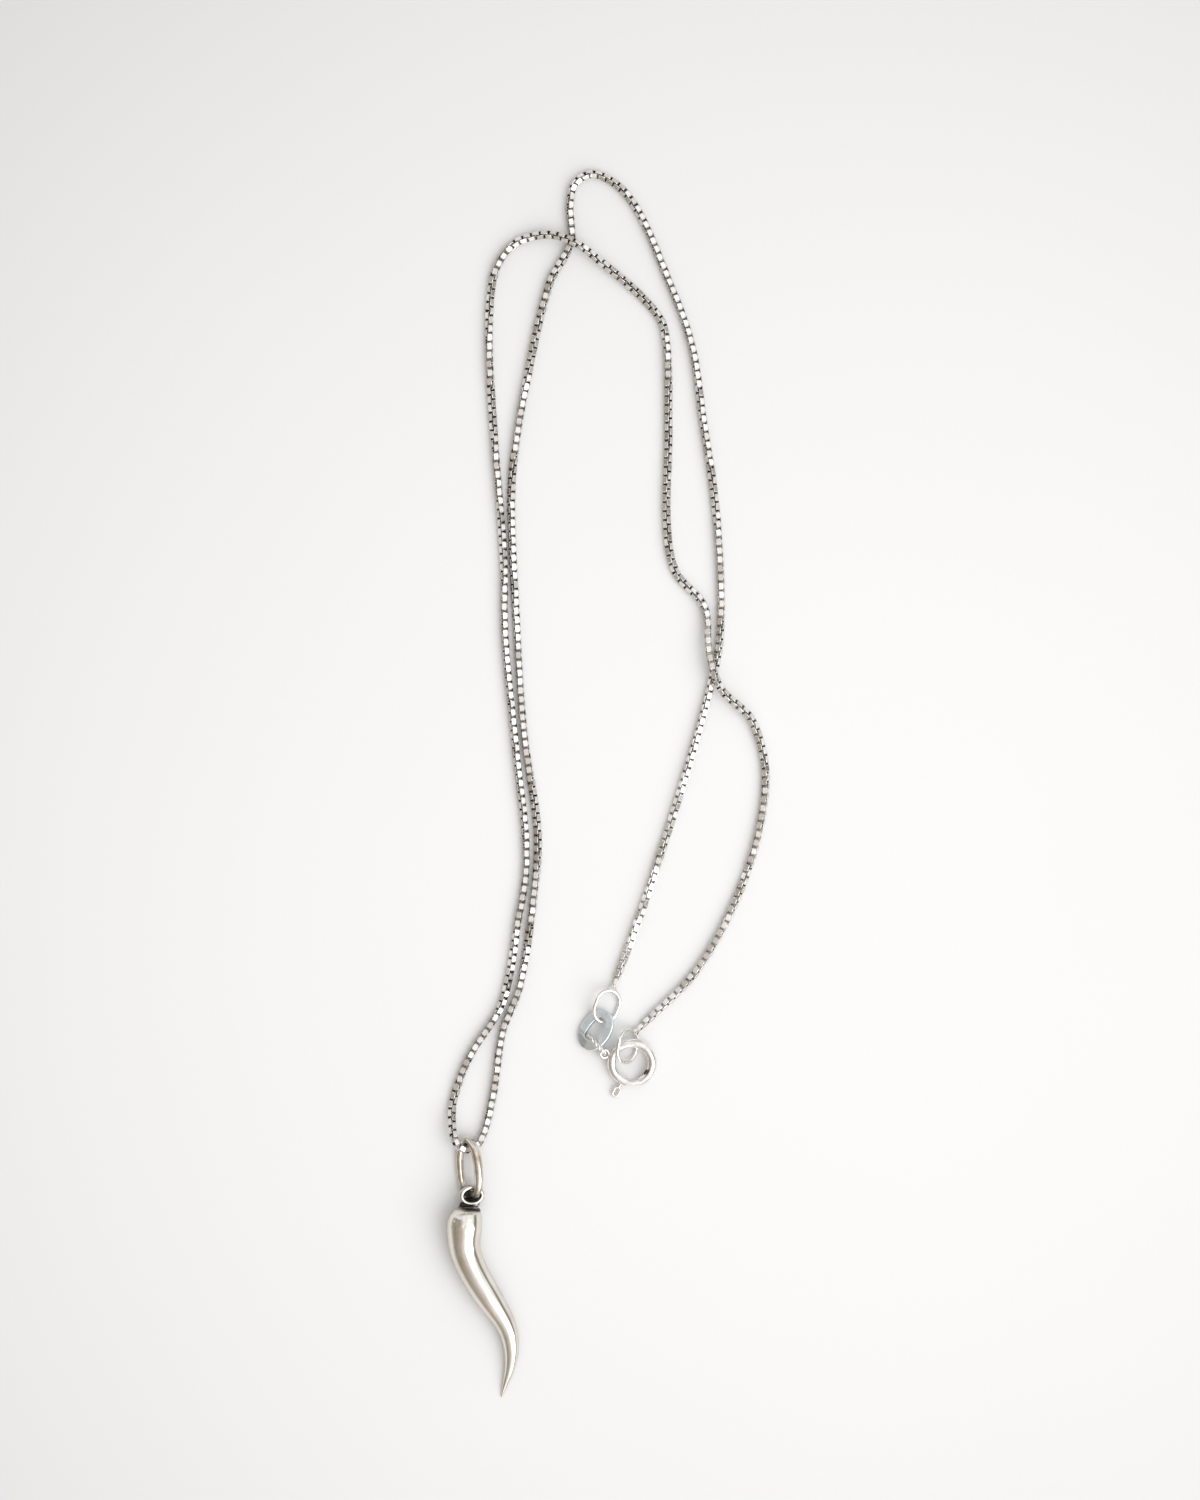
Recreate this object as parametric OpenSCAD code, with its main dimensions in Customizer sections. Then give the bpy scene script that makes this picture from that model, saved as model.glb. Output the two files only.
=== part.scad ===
// Silver cornicello, an S-curved horn charm, hanging from its bail on an 18 inch box chain.
// The chain is closed through its tag and spring-ring clasp, and the whole piece lies flat.
// X runs to the right, Y towards the top of the loop and Z up from the surface it lies on.
// The origin is on that surface, under the middle of the whole piece.

/* [Horn] */
// Length of the horn from its shoulder to its tip
horn_l = 22.6; // [20:0.2:26]
// Greatest thickness of the horn
horn_d = 4.2; // [3.8:0.1:4.8]
// Sideways travel of the horn's S curve
horn_sway = 5.55; // [4:0.05:7]
// Outside diameter of the round eye soldered on top of the horn
eye_d = 3.05; // [2.9:0.05:3.6]
// Thickness of the eye's wire
eye_wire = 0.55; // [0.4:0.05:0.6]
// How far the eye's middle hangs below the horn's axis
eye_drop = 0.45; // [0.35:0.05:0.5]

/* [Bail] */
// Length of the oval bail
bail_l = 7.5; // [6.8:0.1:9]
// Width of the oval bail
bail_w = 3.95; // [3.9:0.05:4.6]
// Thickness of the bail's wire
bail_wire = 0.95; // [0.8:0.05:1]

/* [Chain] */
// Width of the box chain across its links
chain_w = 1; // [0.8:0.05:1.05]

/* [End rings] */
// Length of the oval ring at each end of the chain
ring_l = 4.3; // [4:0.1:4.6]
// Width of the oval end rings
ring_w = 3.4; // [3.2:0.05:3.7]
// Thickness of the end rings' wire
ring_wire = 0.45; // [0.35:0.05:0.5]
// Length of the soldered lug between an end ring and the chain
lug_l = 0.9; // [0.7:0.05:1.2]
// Width of the lug along the ring
lug_w = 1.2; // [0.9:0.05:1.4]
// Diameter of the hole in the lug
lug_hole = 0.26; // [0.2:0.02:0.3]

/* [Tag] */
// Length of the oval tag
tag_l = 5.15; // [4.9:0.05:5.8]
// Width of the oval tag
tag_w = 3.75; // [3.6:0.05:4.1]
// Thickness of the tag
tag_t = 0.5; // [0.35:0.05:0.55]
// Length of the hole in the tag
tag_hole_l = 3; // [2.8:0.05:3.3]
// Width of the hole in the tag
tag_hole_w = 1.6; // [1.5:0.05:1.8]

/* [Tag link] */
// Height of the oval link between the tag and the clasp
link_h = 2.1; // [2.05:0.05:2.3]
// Thickness of the link's wire
link_wire = 0.3; // [0.24:0.02:0.32]

/* [Clasp] */
// Outside diameter of the spring ring
clasp_d = 5.8; // [5.4:0.1:6.6]
// Diameter of the spring ring's hollow tube
clasp_tube = 1.06; // [0.96:0.02:1.16]
// Wall of the hollow tube
clasp_wall = 0.17; // [0.12:0.01:0.2]
// Width of the mouth that the bolt closes
clasp_mouth = 1.45; // [1.2:0.05:1.6]
// Diameter of the bolt's wire
bolt_wire = 0.5; // [0.4:0.02:0.54]
// Thickness of the bolt's stem and trigger loop
trigger_wire = 0.32; // [0.26:0.02:0.36]
// Length of the trigger loop
trigger_l = 1.45; // [1.2:0.05:1.7]
// Width of the trigger loop
trigger_w = 1; // [0.85:0.05:1.2]
// Outside diameter of the eye soldered to the spring ring
clasp_eye_d = 1.26; // [1.22:0.02:1.4]
// Thickness of that eye's wire
clasp_eye_wire = 0.3; // [0.24:0.02:0.32]

/* [Hidden] */

silver = "#c9c7c1";
bright_silver = "#dad8d2";
grey_silver = "#9ba3a6";

// Smoothness of round wires, of rings seen whole and of the horn's sections
wire_sides = 24;
ring_sides = 64;
horn_sides = 28;
chain_sides = 8;
// Running gap between pieces that hang through each other
gap = 0.08;

// Centre line of the chain from the tag's end ring round to the clasp's. Columns: x, y and
// rise above the surface, which is nothing but where the chain crosses itself or the bail.
route = [
  [0.7, -23.45, 0], [4.8, -12.1, 0], [9.4, 2.4, 0], [12, 11.8, 0], [13, 16.7, 0],
  [13.1, 25, 0], [12.3, 34.5, 0], [11.1, 42.4, 0], [9.6, 52, 0], [6.1, 61.4, 0],
  [3.7, 66.8, 0], [1.3, 70.1, 0], [-1.8, 71.7, 0], [-4, 70.6, 0], [-4.6, 67.9, 0],
  [-4.5, 63.6, 0], [-7, 58.8, 0], [-9.6, 47.8, 0], [-11.2, 38.1, 0], [-11.5, 32.2, 0],
  [-10.9, 19.3, 0], [-10, 6, 0], [-8.4, -5.4, 0], [-8.7, -11.9, 0], [-10.5, -23.8, 0],
  [-12.5, -29.1, 0], [-13.5, -35.8, 0], [-14.5, -40.4, 0], [-15.4, -42.3, 0.25],
  [-16.7, -42.9, 0.95], [-17.9, -42.1, 1.5], [-18.4, -40.1, 0.8], [-18.3, -37.2, 0],
  [-16.4, -32.1, 0], [-12.6, -25.8, 0], [-10.8, -16.8, 0], [-9.7, -8.9, 0],
  [-11, 4.6, 0], [-12.2, 16.9, 0], [-12.4, 26.9, 0], [-14, 48.7, 0], [-13.7, 59, 0],
  [-11.5, 63.2, 0], [-7.6, 64.5, 0.5], [-4.4, 63.7, 1.15], [-1.2, 61.5, 0.6],
  [4.1, 57, 0], [6.5, 53.4, 0], [7, 42, 0], [6.8, 30.8, 0], [7.8, 25, 0],
  [11.2, 20.8, 0.2], [11.8, 15.2, 0.8], [13.2, 11.1, 1.15], [16.9, 7.3, 0.3], [18.4, 0.2, 0],
  [16.2, -10.4, 0], [10.7, -21.4, 0], [3.7, -28.6, 0]
];
// Row of the route where the two halves of the chain meet, just above the bail
meeting = 26;
// Bow of the route between two rows that is worth a tube section in the middle, as is
// each raised stretch
bow_worth_a_section = 0.18;

// Horn, from its collar under the eye to its tip. Columns: share of the length, share of
// the sideways travel, share of the greatest thickness.
horn_sections = [
  [-0.021, 0.085, 0.5], [-0.004, 0.08, 0.55], [0.004, 0.055, 0.68], [0.035, 0.02, 0.88], [0.078, 0, 1],
  [0.133, 0, 0.98], [0.19, -0.01, 0.89], [0.245, 0.03, 0.85], [0.289, 0.1, 0.83],
  [0.356, 0.22, 0.785], [0.431, 0.405, 0.77], [0.492, 0.565, 0.725], [0.55, 0.715, 0.645],
  [0.603, 0.85, 0.575], [0.659, 0.94, 0.515], [0.723, 0.99, 0.445], [0.789, 0.995, 0.37],
  [0.852, 0.96, 0.285], [0.911, 0.885, 0.2], [0.956, 0.825, 0.125], [1, 0.775, 0.045]
];
// Row of the table where the horn first rests on the surface
first_rest = 4;

// Room between the bail's right leg and the eye under it
bail_room = 0.14;
// Place of the top of the bail on the chain's lowest turn, and the bail's lean from +Y
bail_top = [-16.45, -41.27];
bail_lean = 3;
// Place of the eye's middle from the bottom of the bail's wire
eye_from_bail = [0, -0.1];
eye_tilt = 20;
eye_pitch = 4;
// Place of the horn's shoulder from the eye's middle
shoulder_from_eye = [-0.85, -0.79 - eye_wire / 2];

// Lean of each end ring from +Y, and turn of its lug round the ring's end
ring_lean_tag = -20;
ring_lean_clasp = -10;
lug_turn_tag = 0;
lug_turn_clasp = 35;

// Lean of the tag, rise of its right rim over its left, and place and turn of its hole
tag_lean = -33;
tag_rise = 1.35;
tag_hole_turn = 7;
// Fullness of the corners of the tag and of its hole, above 2 for a plain ellipse
tag_power = 2.15;
hole_power = 4;
tag_hole_shift = [-0.05, 0.2];
// Turn from the end ring's foot to where its wire dives through the tag's hole, and the
// room from that wire to the hole's middle and to its top end
dive_turn = 4;
hole_side_room = 0.24;
hole_end_room = 0.32;
// Place of the tag link's end in the hole, from the middle of the hole, and its tilt
link_hold = [-0.45, -1.08];
link_tilt = 5;

// Way from the middle of the end ring to the middle of the spring ring, and how far the
// tube's line lies inside the end ring's middle
clasp_from_ring = -75;
ring_inset = 0.32;
// Angles round the spring ring, from +X: mouth, trigger, tail of the bolt and soldered eye
mouth_angle = 274;
trigger_angle = 242;
tail_angle = 206;
clasp_eye_angle = 161;
// Way that the bolt is drawn back, and how far it reaches into the far end of the tube
bolt_travel = 40;
bolt_seat = 7;
// Neck between the tube and the trigger loop, and the slit in the far end of the tube
trigger_neck = 0.28;
slit_turn = 30;
slit_w = 0.3;
// Turn by which cuts run past the ends of the tube
overcut = 2;
// Tilt of the clasp's eye, its solder pad on the tube and how deep it is soldered in
clasp_eye_tilt = 10;
solder_pad = 0.55;
clasp_solder = 0.12;

bail_radius = (bail_w - bail_wire) / 2;
ring_radius = (ring_w - ring_wire) / 2;
clasp_radius = (clasp_d - clasp_tube) / 2;
eye_radius = (eye_d - eye_wire) / 2;
clasp_eye_radius = (clasp_eye_d - clasp_eye_wire) / 2;

// Direction at an angle in the plane, and the two turns that place a leaning, tilted ring
function toward(a) = [cos(a), sin(a), 0];
function tilted(p, a) = [p.x * cos(a) - p.z * sin(a), p.y, p.x * sin(a) + p.z * cos(a)];
function leaned(p, a) = [p.x * cos(a) - p.y * sin(a), p.x * sin(a) + p.y * cos(a), p.z];
function placed(p, tilt, lean) = leaned(tilted(p, tilt), lean);

// Smooth curve through rows of numbers, with each row's slope taken from its neighbours
function gap_after(rows, i) = norm(rows[i + 1] - rows[i]);
function slope(rows, i) =
  i == 0 ? (rows[1] - rows[0]) / gap_after(rows, 0)
  : i == len(rows) - 1 ? (rows[i] - rows[i - 1]) / gap_after(rows, i - 1)
  : (rows[i + 1] - rows[i - 1]) / (gap_after(rows, i - 1) + gap_after(rows, i));
function between(rows, i, u) =
  let (h = gap_after(rows, i), v = 1 - u)
  v * v * (1 + 2 * u) * rows[i] + u * u * (1 + 2 * v) * rows[i + 1]
  + u * v * h * (v * slope(rows, i) - u * slope(rows, i + 1));
function way(rows, i, u) = (1 - u) * slope(rows, i) + u * slope(rows, i + 1);
function bow(rows, i) =
  let (ends = [rows[i], rows[i + 1]], middle = between(rows, i, 0.5))
  norm(middle - (ends[0] + ends[1]) / 2);

// Points of a round section at p, square to the direction t
function section(p, t, r, sides) =
  let (side = cross(t, [0, 0, 1]) / norm(cross(t, [0, 0, 1])), up = cross(side, t) / norm(t))
  [for (k = [0:sides - 1]) let (a = 360 * (k + 0.5) / sides) p + r * (cos(a) * side + sin(a) * up)];

// Closed tube through a list of sections that all have the same number of points
module tube(sections) {
  n = len(sections[0]);
  last = len(sections) - 1;
  polyhedron(
    points = [for (s = sections) each s],
    faces = [
      [for (k = [0:n - 1]) n - 1 - k],
      [for (k = [0:n - 1]) last * n + k],
      for (i = [0:last - 1], k = [0:n - 1])
        [i * n + k, i * n + (k + 1) % n, (i + 1) * n + (k + 1) % n, (i + 1) * n + k]
    ]
  );
}

// Oval of round wire lying in the XY plane, with straight legs along Y
module oval_wire(length, width, wire) {
  radius = (width - wire) / 2;
  leg = length - width;
  for (turn = [0, 180])
    rotate([0, 0, turn]) translate([0, leg / 2, 0])
      rotate_extrude(angle = 180, $fn = ring_sides)
        translate([radius, 0]) circle(d = wire, $fn = wire_sides);
  for (side = [-1, 1])
    translate([side * radius, 0, 0]) rotate([90, 0, 0])
      cylinder(d = wire, h = leg, center = true, $fn = wire_sides);
}

// Round ring of wire lying in the XY plane
module round_wire(radius, wire) {
  rotate_extrude($fn = ring_sides) translate([radius, 0]) circle(d = wire, $fn = wire_sides);
}

// Places derived from one another, starting at the chain's lowest turn and its two ends

// The bail stands on its left leg and leans up over the eye and the chain on its right
eye_z = horn_d / 2 - eye_drop;
bail_rise = eye_z + eye_wire / 2 + bail_room;
bail_tilt = asin(bail_rise / (2 * bail_radius));
bail_z = bail_wire / 2 + bail_rise / 2;
bail_place = [bail_top.x, bail_top.y, bail_z] - leaned([0, bail_l / 2, 0], bail_lean);
bail_foot = bail_place - leaned([0, (bail_l - bail_wire) / 2, 0], bail_lean);
eye_place = [bail_foot.x + eye_from_bail.x, bail_foot.y + eye_from_bail.y, eye_z];
shoulder = [eye_place.x + shoulder_from_eye.x, eye_place.y + shoulder_from_eye.y];

module horn() {
  rows = [
    for (i = [0:len(horn_sections) - 1])
      let (row = horn_sections[i], r = row[2] * horn_d / 2)
      [shoulder.x + row[1] * horn_sway, shoulder.y - row[0] * horn_l,
       i < first_rest ? horn_d / 2 : r, r]
  ];
  color(silver) {
    tube([
      for (i = [0:len(rows) - 2], u = i == len(rows) - 2 ? [0, 0.5, 1] : [0, 0.5])
        let (p = between(rows, i, u), q = i < first_rest ? [0, -1] : way(rows, i, u))
        section([p[0], p[1], p[2]], [q[0], q[1], 0], p[3], horn_sides)
    ]);
    translate(eye_place) rotate([eye_pitch, eye_tilt, 0]) round_wire(eye_radius, eye_wire);
  }
}

module bail() {
  color(silver)
    translate(bail_place) rotate([0, 0, bail_lean]) rotate([0, -bail_tilt, 0])
      oval_wire(bail_l, bail_w, bail_wire);
}

// The chain's centre line lies half its width above the route
chain_line = [for (p = route) p + [0, 0, chain_w / 2]];

// Part of the chain between two rows of the route, as wide across its flats as its links
module chain(first, last) {
  radius = chain_w / 2 / cos(180 / chain_sides);
  color(bright_silver)
    tube([
      for (i = [first:last - 1])
        let (middle = bow(route, i) > bow_worth_a_section || route[i].z > 0 ? [0, 0.5] : [0])
        for (u = i == last - 1 ? concat(middle, 1) : middle)
          let (p = between(chain_line, i, u), q = way(chain_line, i, u))
          section([p.x, p.y, max(p.z, chain_w / 2)], [q.x, q.y, 0], radius, chain_sides)
    ]);
}

module chain_tag_side() {
  chain(0, meeting);
}

module chain_clasp_side() {
  chain(meeting, len(route) - 1);
}

// Each end ring stands on its right leg, and its left leg leans up over what hangs in it
clasp_lift = ring_wire + 2 * gap;
clasp_tilt = asin(clasp_lift / (2 * clasp_radius));
clasp_z = clasp_tube / 2 + clasp_lift / 2;
ring_tilt_tag = 24;
ring_rise_clasp = clasp_lift + clasp_tube + ring_wire / 2 + gap;
ring_tilt_clasp = asin(ring_rise_clasp / (2 * ring_radius));

// Places of a ring's middle and of the foot of its lug from the end of the chain
function lug_foot(turn) =
  [ring_radius * sin(turn), (ring_l - ring_w) / 2 + ring_radius * cos(turn), 0];
function ring_height(tilt) = ring_wire / 2 + ring_radius * sin(tilt);
function ring_place(end, away, turn, tilt, lean) =
  let (foot = placed(lug_foot(turn), -tilt, lean))
  [end.x + away.x * lug_l - foot.x, end.y + away.y * lug_l - foot.y, ring_height(tilt)];

chain_start = chain_line[0];
chain_end = chain_line[len(chain_line) - 1];
function level(v) = [v.x, v.y, 0] / norm([v.x, v.y]);
away_start = -level(slope(chain_line, 0));
away_end = level(slope(chain_line, len(chain_line) - 1));
ring_place_tag = ring_place(chain_start, away_start, lug_turn_tag, ring_tilt_tag, ring_lean_tag);
ring_place_clasp =
  ring_place(chain_end, away_end, lug_turn_clasp, ring_tilt_clasp, ring_lean_clasp);

// Oval ring with the solder lug that takes the chain's last link
module end_ring(place, tilt, lean, turn, chain_tip, away) {
  foot = place + placed(lug_foot(turn), -tilt, lean);
  along = placed([cos(turn), -sin(turn), 0], -tilt, lean) * (lug_w - ring_wire) / 2;
  tip = chain_tip + away * (gap + ring_wire / 2);
  color(silver) difference() {
    union() {
      translate(place) rotate([0, 0, lean]) rotate([0, tilt, 0])
        oval_wire(ring_l, ring_w, ring_wire);
      hull() {
        for (p = [foot - along, foot + along, tip]) translate(p) sphere(d = ring_wire, $fn = 16);
      }
    }
    translate((foot + 2 * tip) / 3)
      cylinder(d = lug_hole, h = 3 * ring_wire, center = true, $fn = wire_sides);
  }
}

module end_ring_tag() {
  end_ring(ring_place_tag, ring_tilt_tag, ring_lean_tag, lug_turn_tag, chain_start, away_start);
}

module end_ring_clasp() {
  end_ring(ring_place_clasp, ring_tilt_clasp, ring_lean_clasp, lug_turn_clasp, chain_end, away_end);
}

// The tag hangs from the foot of its end ring, propped up by that ring and by the tag link
tag_tilt = asin(tag_rise / tag_w);
ring_dive = placed(
  [ring_radius * sin(dive_turn), -(ring_l - ring_w) / 2 - ring_radius * cos(dive_turn), 0],
  -ring_tilt_tag, ring_lean_tag
);
tag_z = tag_w / 2 * sin(tag_tilt) + tag_t / 2 * cos(tag_tilt);
hole_axis = tag_lean + tag_hole_turn;
hole_from_dive =
  leaned([-hole_side_room, ring_wire / 2 + hole_end_room - tag_hole_l / 2, 0], hole_axis);
hole_place = ring_place_tag + ring_dive + hole_from_dive;
tag_place_level = hole_place - placed([tag_hole_shift.x, tag_hole_shift.y, 0], tag_tilt, tag_lean);
tag_place = [tag_place_level.x, tag_place_level.y, tag_z];

// Outline of an oval whose corners fill out as the power rises above 2
function oval(length, width, power, points) = [
  for (k = [0:points - 1])
    let (a = 360 * k / points, c = cos(a), s = sin(a))
    [width / 2 * sign(c) * pow(abs(c), 2 / power), length / 2 * sign(s) * pow(abs(s), 2 / power)]
];

module tag() {
  color(grey_silver)
    translate(tag_place) rotate([0, 0, tag_lean]) rotate([0, -tag_tilt, 0])
      translate([0, 0, -tag_t / 2])
        difference() {
          linear_extrude(tag_t) polygon(oval(tag_l, tag_w, tag_power, 72));
          translate([tag_hole_shift.x, tag_hole_shift.y, -tag_t / 2])
            rotate([0, 0, tag_hole_turn])
              linear_extrude(2 * tag_t) polygon(oval(tag_hole_l, tag_hole_w, hole_power, 48));
        }
}

// The spring ring lies on the end ring's right leg and holds the foot of its left leg
clasp_level = ring_place_clasp + (clasp_radius - ring_inset) * toward(clasp_from_ring);
clasp_place = [clasp_level.x, clasp_level.y, clasp_z];
clasp_eye_foot = clasp_radius + clasp_tube / 2 + clasp_eye_wire / 2 - clasp_solder;
clasp_eye_reach = clasp_eye_foot + clasp_eye_radius * cos(clasp_eye_tilt);
mouth_half = asin(clasp_mouth / 2 / clasp_radius);
slot_w = trigger_wire + 2 * gap;
slot_end = asin(slot_w / 2 / clasp_radius);

module at_clasp() {
  translate(clasp_place) rotate([clasp_tilt, 0, 0]) children();
}

// Part of a ring about Z whose section is the child, from one angle to another
module swept(from, to) {
  rotate([0, 0, from]) rotate_extrude(angle = to - from, $fn = ring_sides) children();
}

module clasp_body() {
  color(silver) at_clasp() difference() {
    union() {
      swept(mouth_angle + mouth_half, mouth_angle + 360 - mouth_half)
        translate([clasp_radius, 0]) circle(d = clasp_tube, $fn = wire_sides);
      rotate([0, 0, clasp_eye_angle]) translate([clasp_eye_foot, 0, 0]) {
        rotate([0, -clasp_eye_tilt, 0]) translate([clasp_eye_radius, 0, 0])
          round_wire(clasp_eye_radius, clasp_eye_wire);
        translate([-solder_pad / 4, 0, 0]) sphere(d = solder_pad, $fn = 24);
      }
    }
    swept(mouth_angle + mouth_half - overcut, mouth_angle + 360 - mouth_half + overcut)
      translate([clasp_radius, 0]) circle(d = clasp_tube - 2 * clasp_wall, $fn = wire_sides);
    // Slot for the stem, through the outer wall
    swept(trigger_angle - bolt_travel - slot_end, trigger_angle + slot_end)
      translate([clasp_radius, -slot_w / 2]) square([clasp_tube, slot_w]);
    // Slit in the inner wall of the end that takes the bolt
    swept(mouth_angle + mouth_half - overcut, mouth_angle + mouth_half + slit_turn)
      translate([clasp_radius - clasp_tube, -slit_w / 2]) square([clasp_tube, slit_w]);
  }
}

module clasp_bolt() {
  bolt_end = mouth_angle + mouth_half + bolt_seat;
  stem_end = clasp_radius + clasp_tube / 2 + trigger_neck + trigger_wire / 2;
  color(bright_silver) at_clasp() {
    swept(tail_angle, bolt_end)
      translate([clasp_radius, 0]) circle(d = bolt_wire, $fn = wire_sides);
    translate(clasp_radius * toward(trigger_angle)) rotate([0, 0, trigger_angle]) rotate([0, 90, 0])
      cylinder(d = trigger_wire, h = stem_end - clasp_radius, $fn = wire_sides);
    rotate([0, 0, trigger_angle - 90])
      translate([0, stem_end + (trigger_l - trigger_wire) / 2, 0])
        oval_wire(trigger_l, trigger_w, trigger_wire);
  }
}

// The link stands upright, with one end in the tag's hole and the other in the clasp's eye
link_from = hole_place + leaned([link_hold.x, link_hold.y, 0], hole_axis);
link_to = clasp_place + clasp_eye_reach * toward(clasp_eye_angle);
link_span = norm([link_to.x - link_from.x, link_to.y - link_from.y]);
// Length to the nearest 0.02, so that its legs and round ends meet exactly
link_l = 0.02 * round((link_span + link_wire) / 0.02);
link_turn = atan2(link_to.y - link_from.y, link_to.x - link_from.x);

module tag_link() {
  color(silver)
    translate([(link_from.x + link_to.x) / 2, (link_from.y + link_to.y) / 2, link_h / 2])
      rotate([0, 0, link_turn]) rotate([90 - link_tilt, 0, 0]) rotate([0, 0, 90])
        oval_wire(link_l, link_h, link_wire);
}

horn();
bail();
chain_tag_side();
chain_clasp_side();
end_ring_tag();
end_ring_clasp();
tag();
tag_link();
clasp_body();
clasp_bolt();
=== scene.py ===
"""Looks of a silver horn pendant lying on its box chain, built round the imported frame.

Every length is in metres in the frame of the CAD model: X to the right, Y towards the top of the
chain's loop and Z up from the surface that the piece lies on. Shapes are worked out with numpy as
surfaces of two parameters or as profiles carried along a path. Short lists of sizes are written in
millimetres and multiplied by MM.
"""

import logging
import math
from dataclasses import dataclass, field
from enum import Enum
from typing import Any, Callable, Sequence

import bmesh
import bpy
import numpy as np
from mathutils import Matrix, Vector


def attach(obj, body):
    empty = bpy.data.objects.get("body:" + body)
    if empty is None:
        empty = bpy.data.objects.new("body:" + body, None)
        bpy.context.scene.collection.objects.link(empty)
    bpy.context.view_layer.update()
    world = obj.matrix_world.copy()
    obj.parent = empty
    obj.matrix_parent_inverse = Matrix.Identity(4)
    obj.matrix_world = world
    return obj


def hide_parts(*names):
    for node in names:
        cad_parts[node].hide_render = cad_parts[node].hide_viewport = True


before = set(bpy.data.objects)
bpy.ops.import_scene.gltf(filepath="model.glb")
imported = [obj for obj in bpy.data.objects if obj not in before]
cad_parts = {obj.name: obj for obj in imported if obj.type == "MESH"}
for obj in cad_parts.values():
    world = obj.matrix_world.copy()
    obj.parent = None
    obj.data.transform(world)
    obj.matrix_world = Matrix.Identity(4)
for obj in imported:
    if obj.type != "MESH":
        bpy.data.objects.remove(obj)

log = logging.getLogger("horn_pendant")

Array = np.ndarray
Colour = tuple[float, float, float, float]

MM = 0.001
WELD = 1e-8
COLOUR, NUMBER = "NodeSocketColor", "NodeSocketFloat"
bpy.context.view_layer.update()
NECKLACE = "necklace"
UP = np.array([0.0, 0.0, 1.0])

# The chain's route over the surface, as in the CAD source: x, y and rise in millimetres, from the
# tag's end ring round to the clasp's end ring
ROUTE = MM * np.array([
    (0.7, -23.45, 0), (4.8, -12.1, 0), (9.4, 2.4, 0), (12, 11.8, 0), (13, 16.7, 0),
    (13.1, 25, 0), (12.3, 34.5, 0), (11.1, 42.4, 0), (9.6, 52, 0), (6.1, 61.4, 0),
    (3.7, 66.8, 0), (1.3, 70.1, 0), (-1.8, 71.7, 0), (-4, 70.6, 0), (-4.6, 67.9, 0),
    (-4.5, 63.6, 0), (-7, 58.8, 0), (-9.6, 47.8, 0), (-11.2, 38.1, 0), (-11.5, 32.2, 0),
    (-10.9, 19.3, 0), (-10, 6, 0), (-8.4, -5.4, 0), (-8.7, -11.9, 0), (-10.5, -23.8, 0),
    (-12.5, -29.1, 0), (-13.5, -35.8, 0), (-14.5, -40.4, 0), (-15.4, -42.3, 0.25),
    (-16.7, -42.9, 0.95), (-17.9, -42.1, 1.5), (-18.4, -40.1, 0.8), (-18.3, -37.2, 0),
    (-16.4, -32.1, 0), (-12.6, -25.8, 0), (-10.8, -16.8, 0), (-9.7, -8.9, 0),
    (-11, 4.6, 0), (-12.2, 16.9, 0), (-12.4, 26.9, 0), (-14, 48.7, 0), (-13.7, 59, 0),
    (-11.5, 63.2, 0), (-7.6, 64.5, 0.5), (-4.4, 63.7, 1.15), (-1.2, 61.5, 0.6),
    (4.1, 57, 0), (6.5, 53.4, 0), (7, 42, 0), (6.8, 30.8, 0), (7.8, 25, 0),
    (11.2, 20.8, 0.2), (11.8, 15.2, 0.8), (13.2, 11.1, 1.15), (16.9, 7.3, 0.3), (18.4, 0.2, 0),
    (16.2, -10.4, 0), (10.7, -21.4, 0), (3.7, -28.6, 0),
])
MEETING = 26

# The horn from its collar to its tip, with a finer shoulder than in the CAD source: share of its
# length, share of its sideways travel, share of its greatest thickness
HORN_SECTIONS = np.array([
    (-0.014, 0.085, 0.48), (-0.003, 0.084, 0.52), (0.006, 0.08, 0.58), (0.035, 0.04, 0.84),
    (0.078, 0.004, 0.985), (0.133, 0, 0.98), (0.19, -0.01, 0.89), (0.245, 0.03, 0.85),
    (0.289, 0.1, 0.83), (0.356, 0.22, 0.785),
    (0.431, 0.405, 0.77), (0.492, 0.565, 0.725), (0.55, 0.715, 0.645),
    (0.603, 0.85, 0.575), (0.659, 0.94, 0.515), (0.723, 0.99, 0.445), (0.789, 0.995, 0.37),
    (0.852, 0.96, 0.285), (0.911, 0.885, 0.2), (0.956, 0.825, 0.125), (1, 0.775, 0.045),
])


def unit(vectors: Array) -> Array:
    """Scales vectors to length one along their last axis."""
    return vectors / np.linalg.norm(vectors, axis=-1, keepdims=True)


def circle(count: int) -> Array:
    """Gives so many even turns in radians, from nought up to but without a full turn."""
    return np.linspace(0, 2 * math.pi, count, endpoint=False)


def eased_share(share: Array) -> Array:
    """Clips a share to nought and one, and eases it as s squared times three less twice s."""
    share = np.clip(share, 0, 1)
    return share**2 * (3 - 2 * share)


def bell(distance: Array, reach: float) -> Array:
    """Falls off from one with the distance d, as exp(-(d / reach)^2)."""
    return np.exp(-((distance / reach) ** 2))


def turning(*turns: tuple[float, str]) -> Array:
    """Works out the matrix of several turns, of which the last is made first.

    Args:
        turns: Each turn's angle in degrees and its axis.

    Returns:
        The matrix, three by three.
    """
    matrix = Matrix.Identity(3)
    for degrees, axis in turns:
        matrix = matrix @ Matrix.Rotation(math.radians(degrees), 3, axis)
    return np.array(matrix)


def rounded_oval(turn: Array, half_sizes: Sequence[float], power: float) -> Array:
    """Works out a rounded oval, where |x / a|^power + |y / b|^power is one.

    Args:
        turn: Each point's turn in radians.
        half_sizes: The half sizes a and b.
        power: Two for an ellipse, and more for a squarer oval.

    Returns:
        Each point's x and y.
    """
    waves = zip(half_sizes, (np.cos(turn), np.sin(turn)))
    return np.column_stack([half * np.sign(wave) * np.abs(wave) ** (2 / power) for half, wave in waves])


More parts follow.
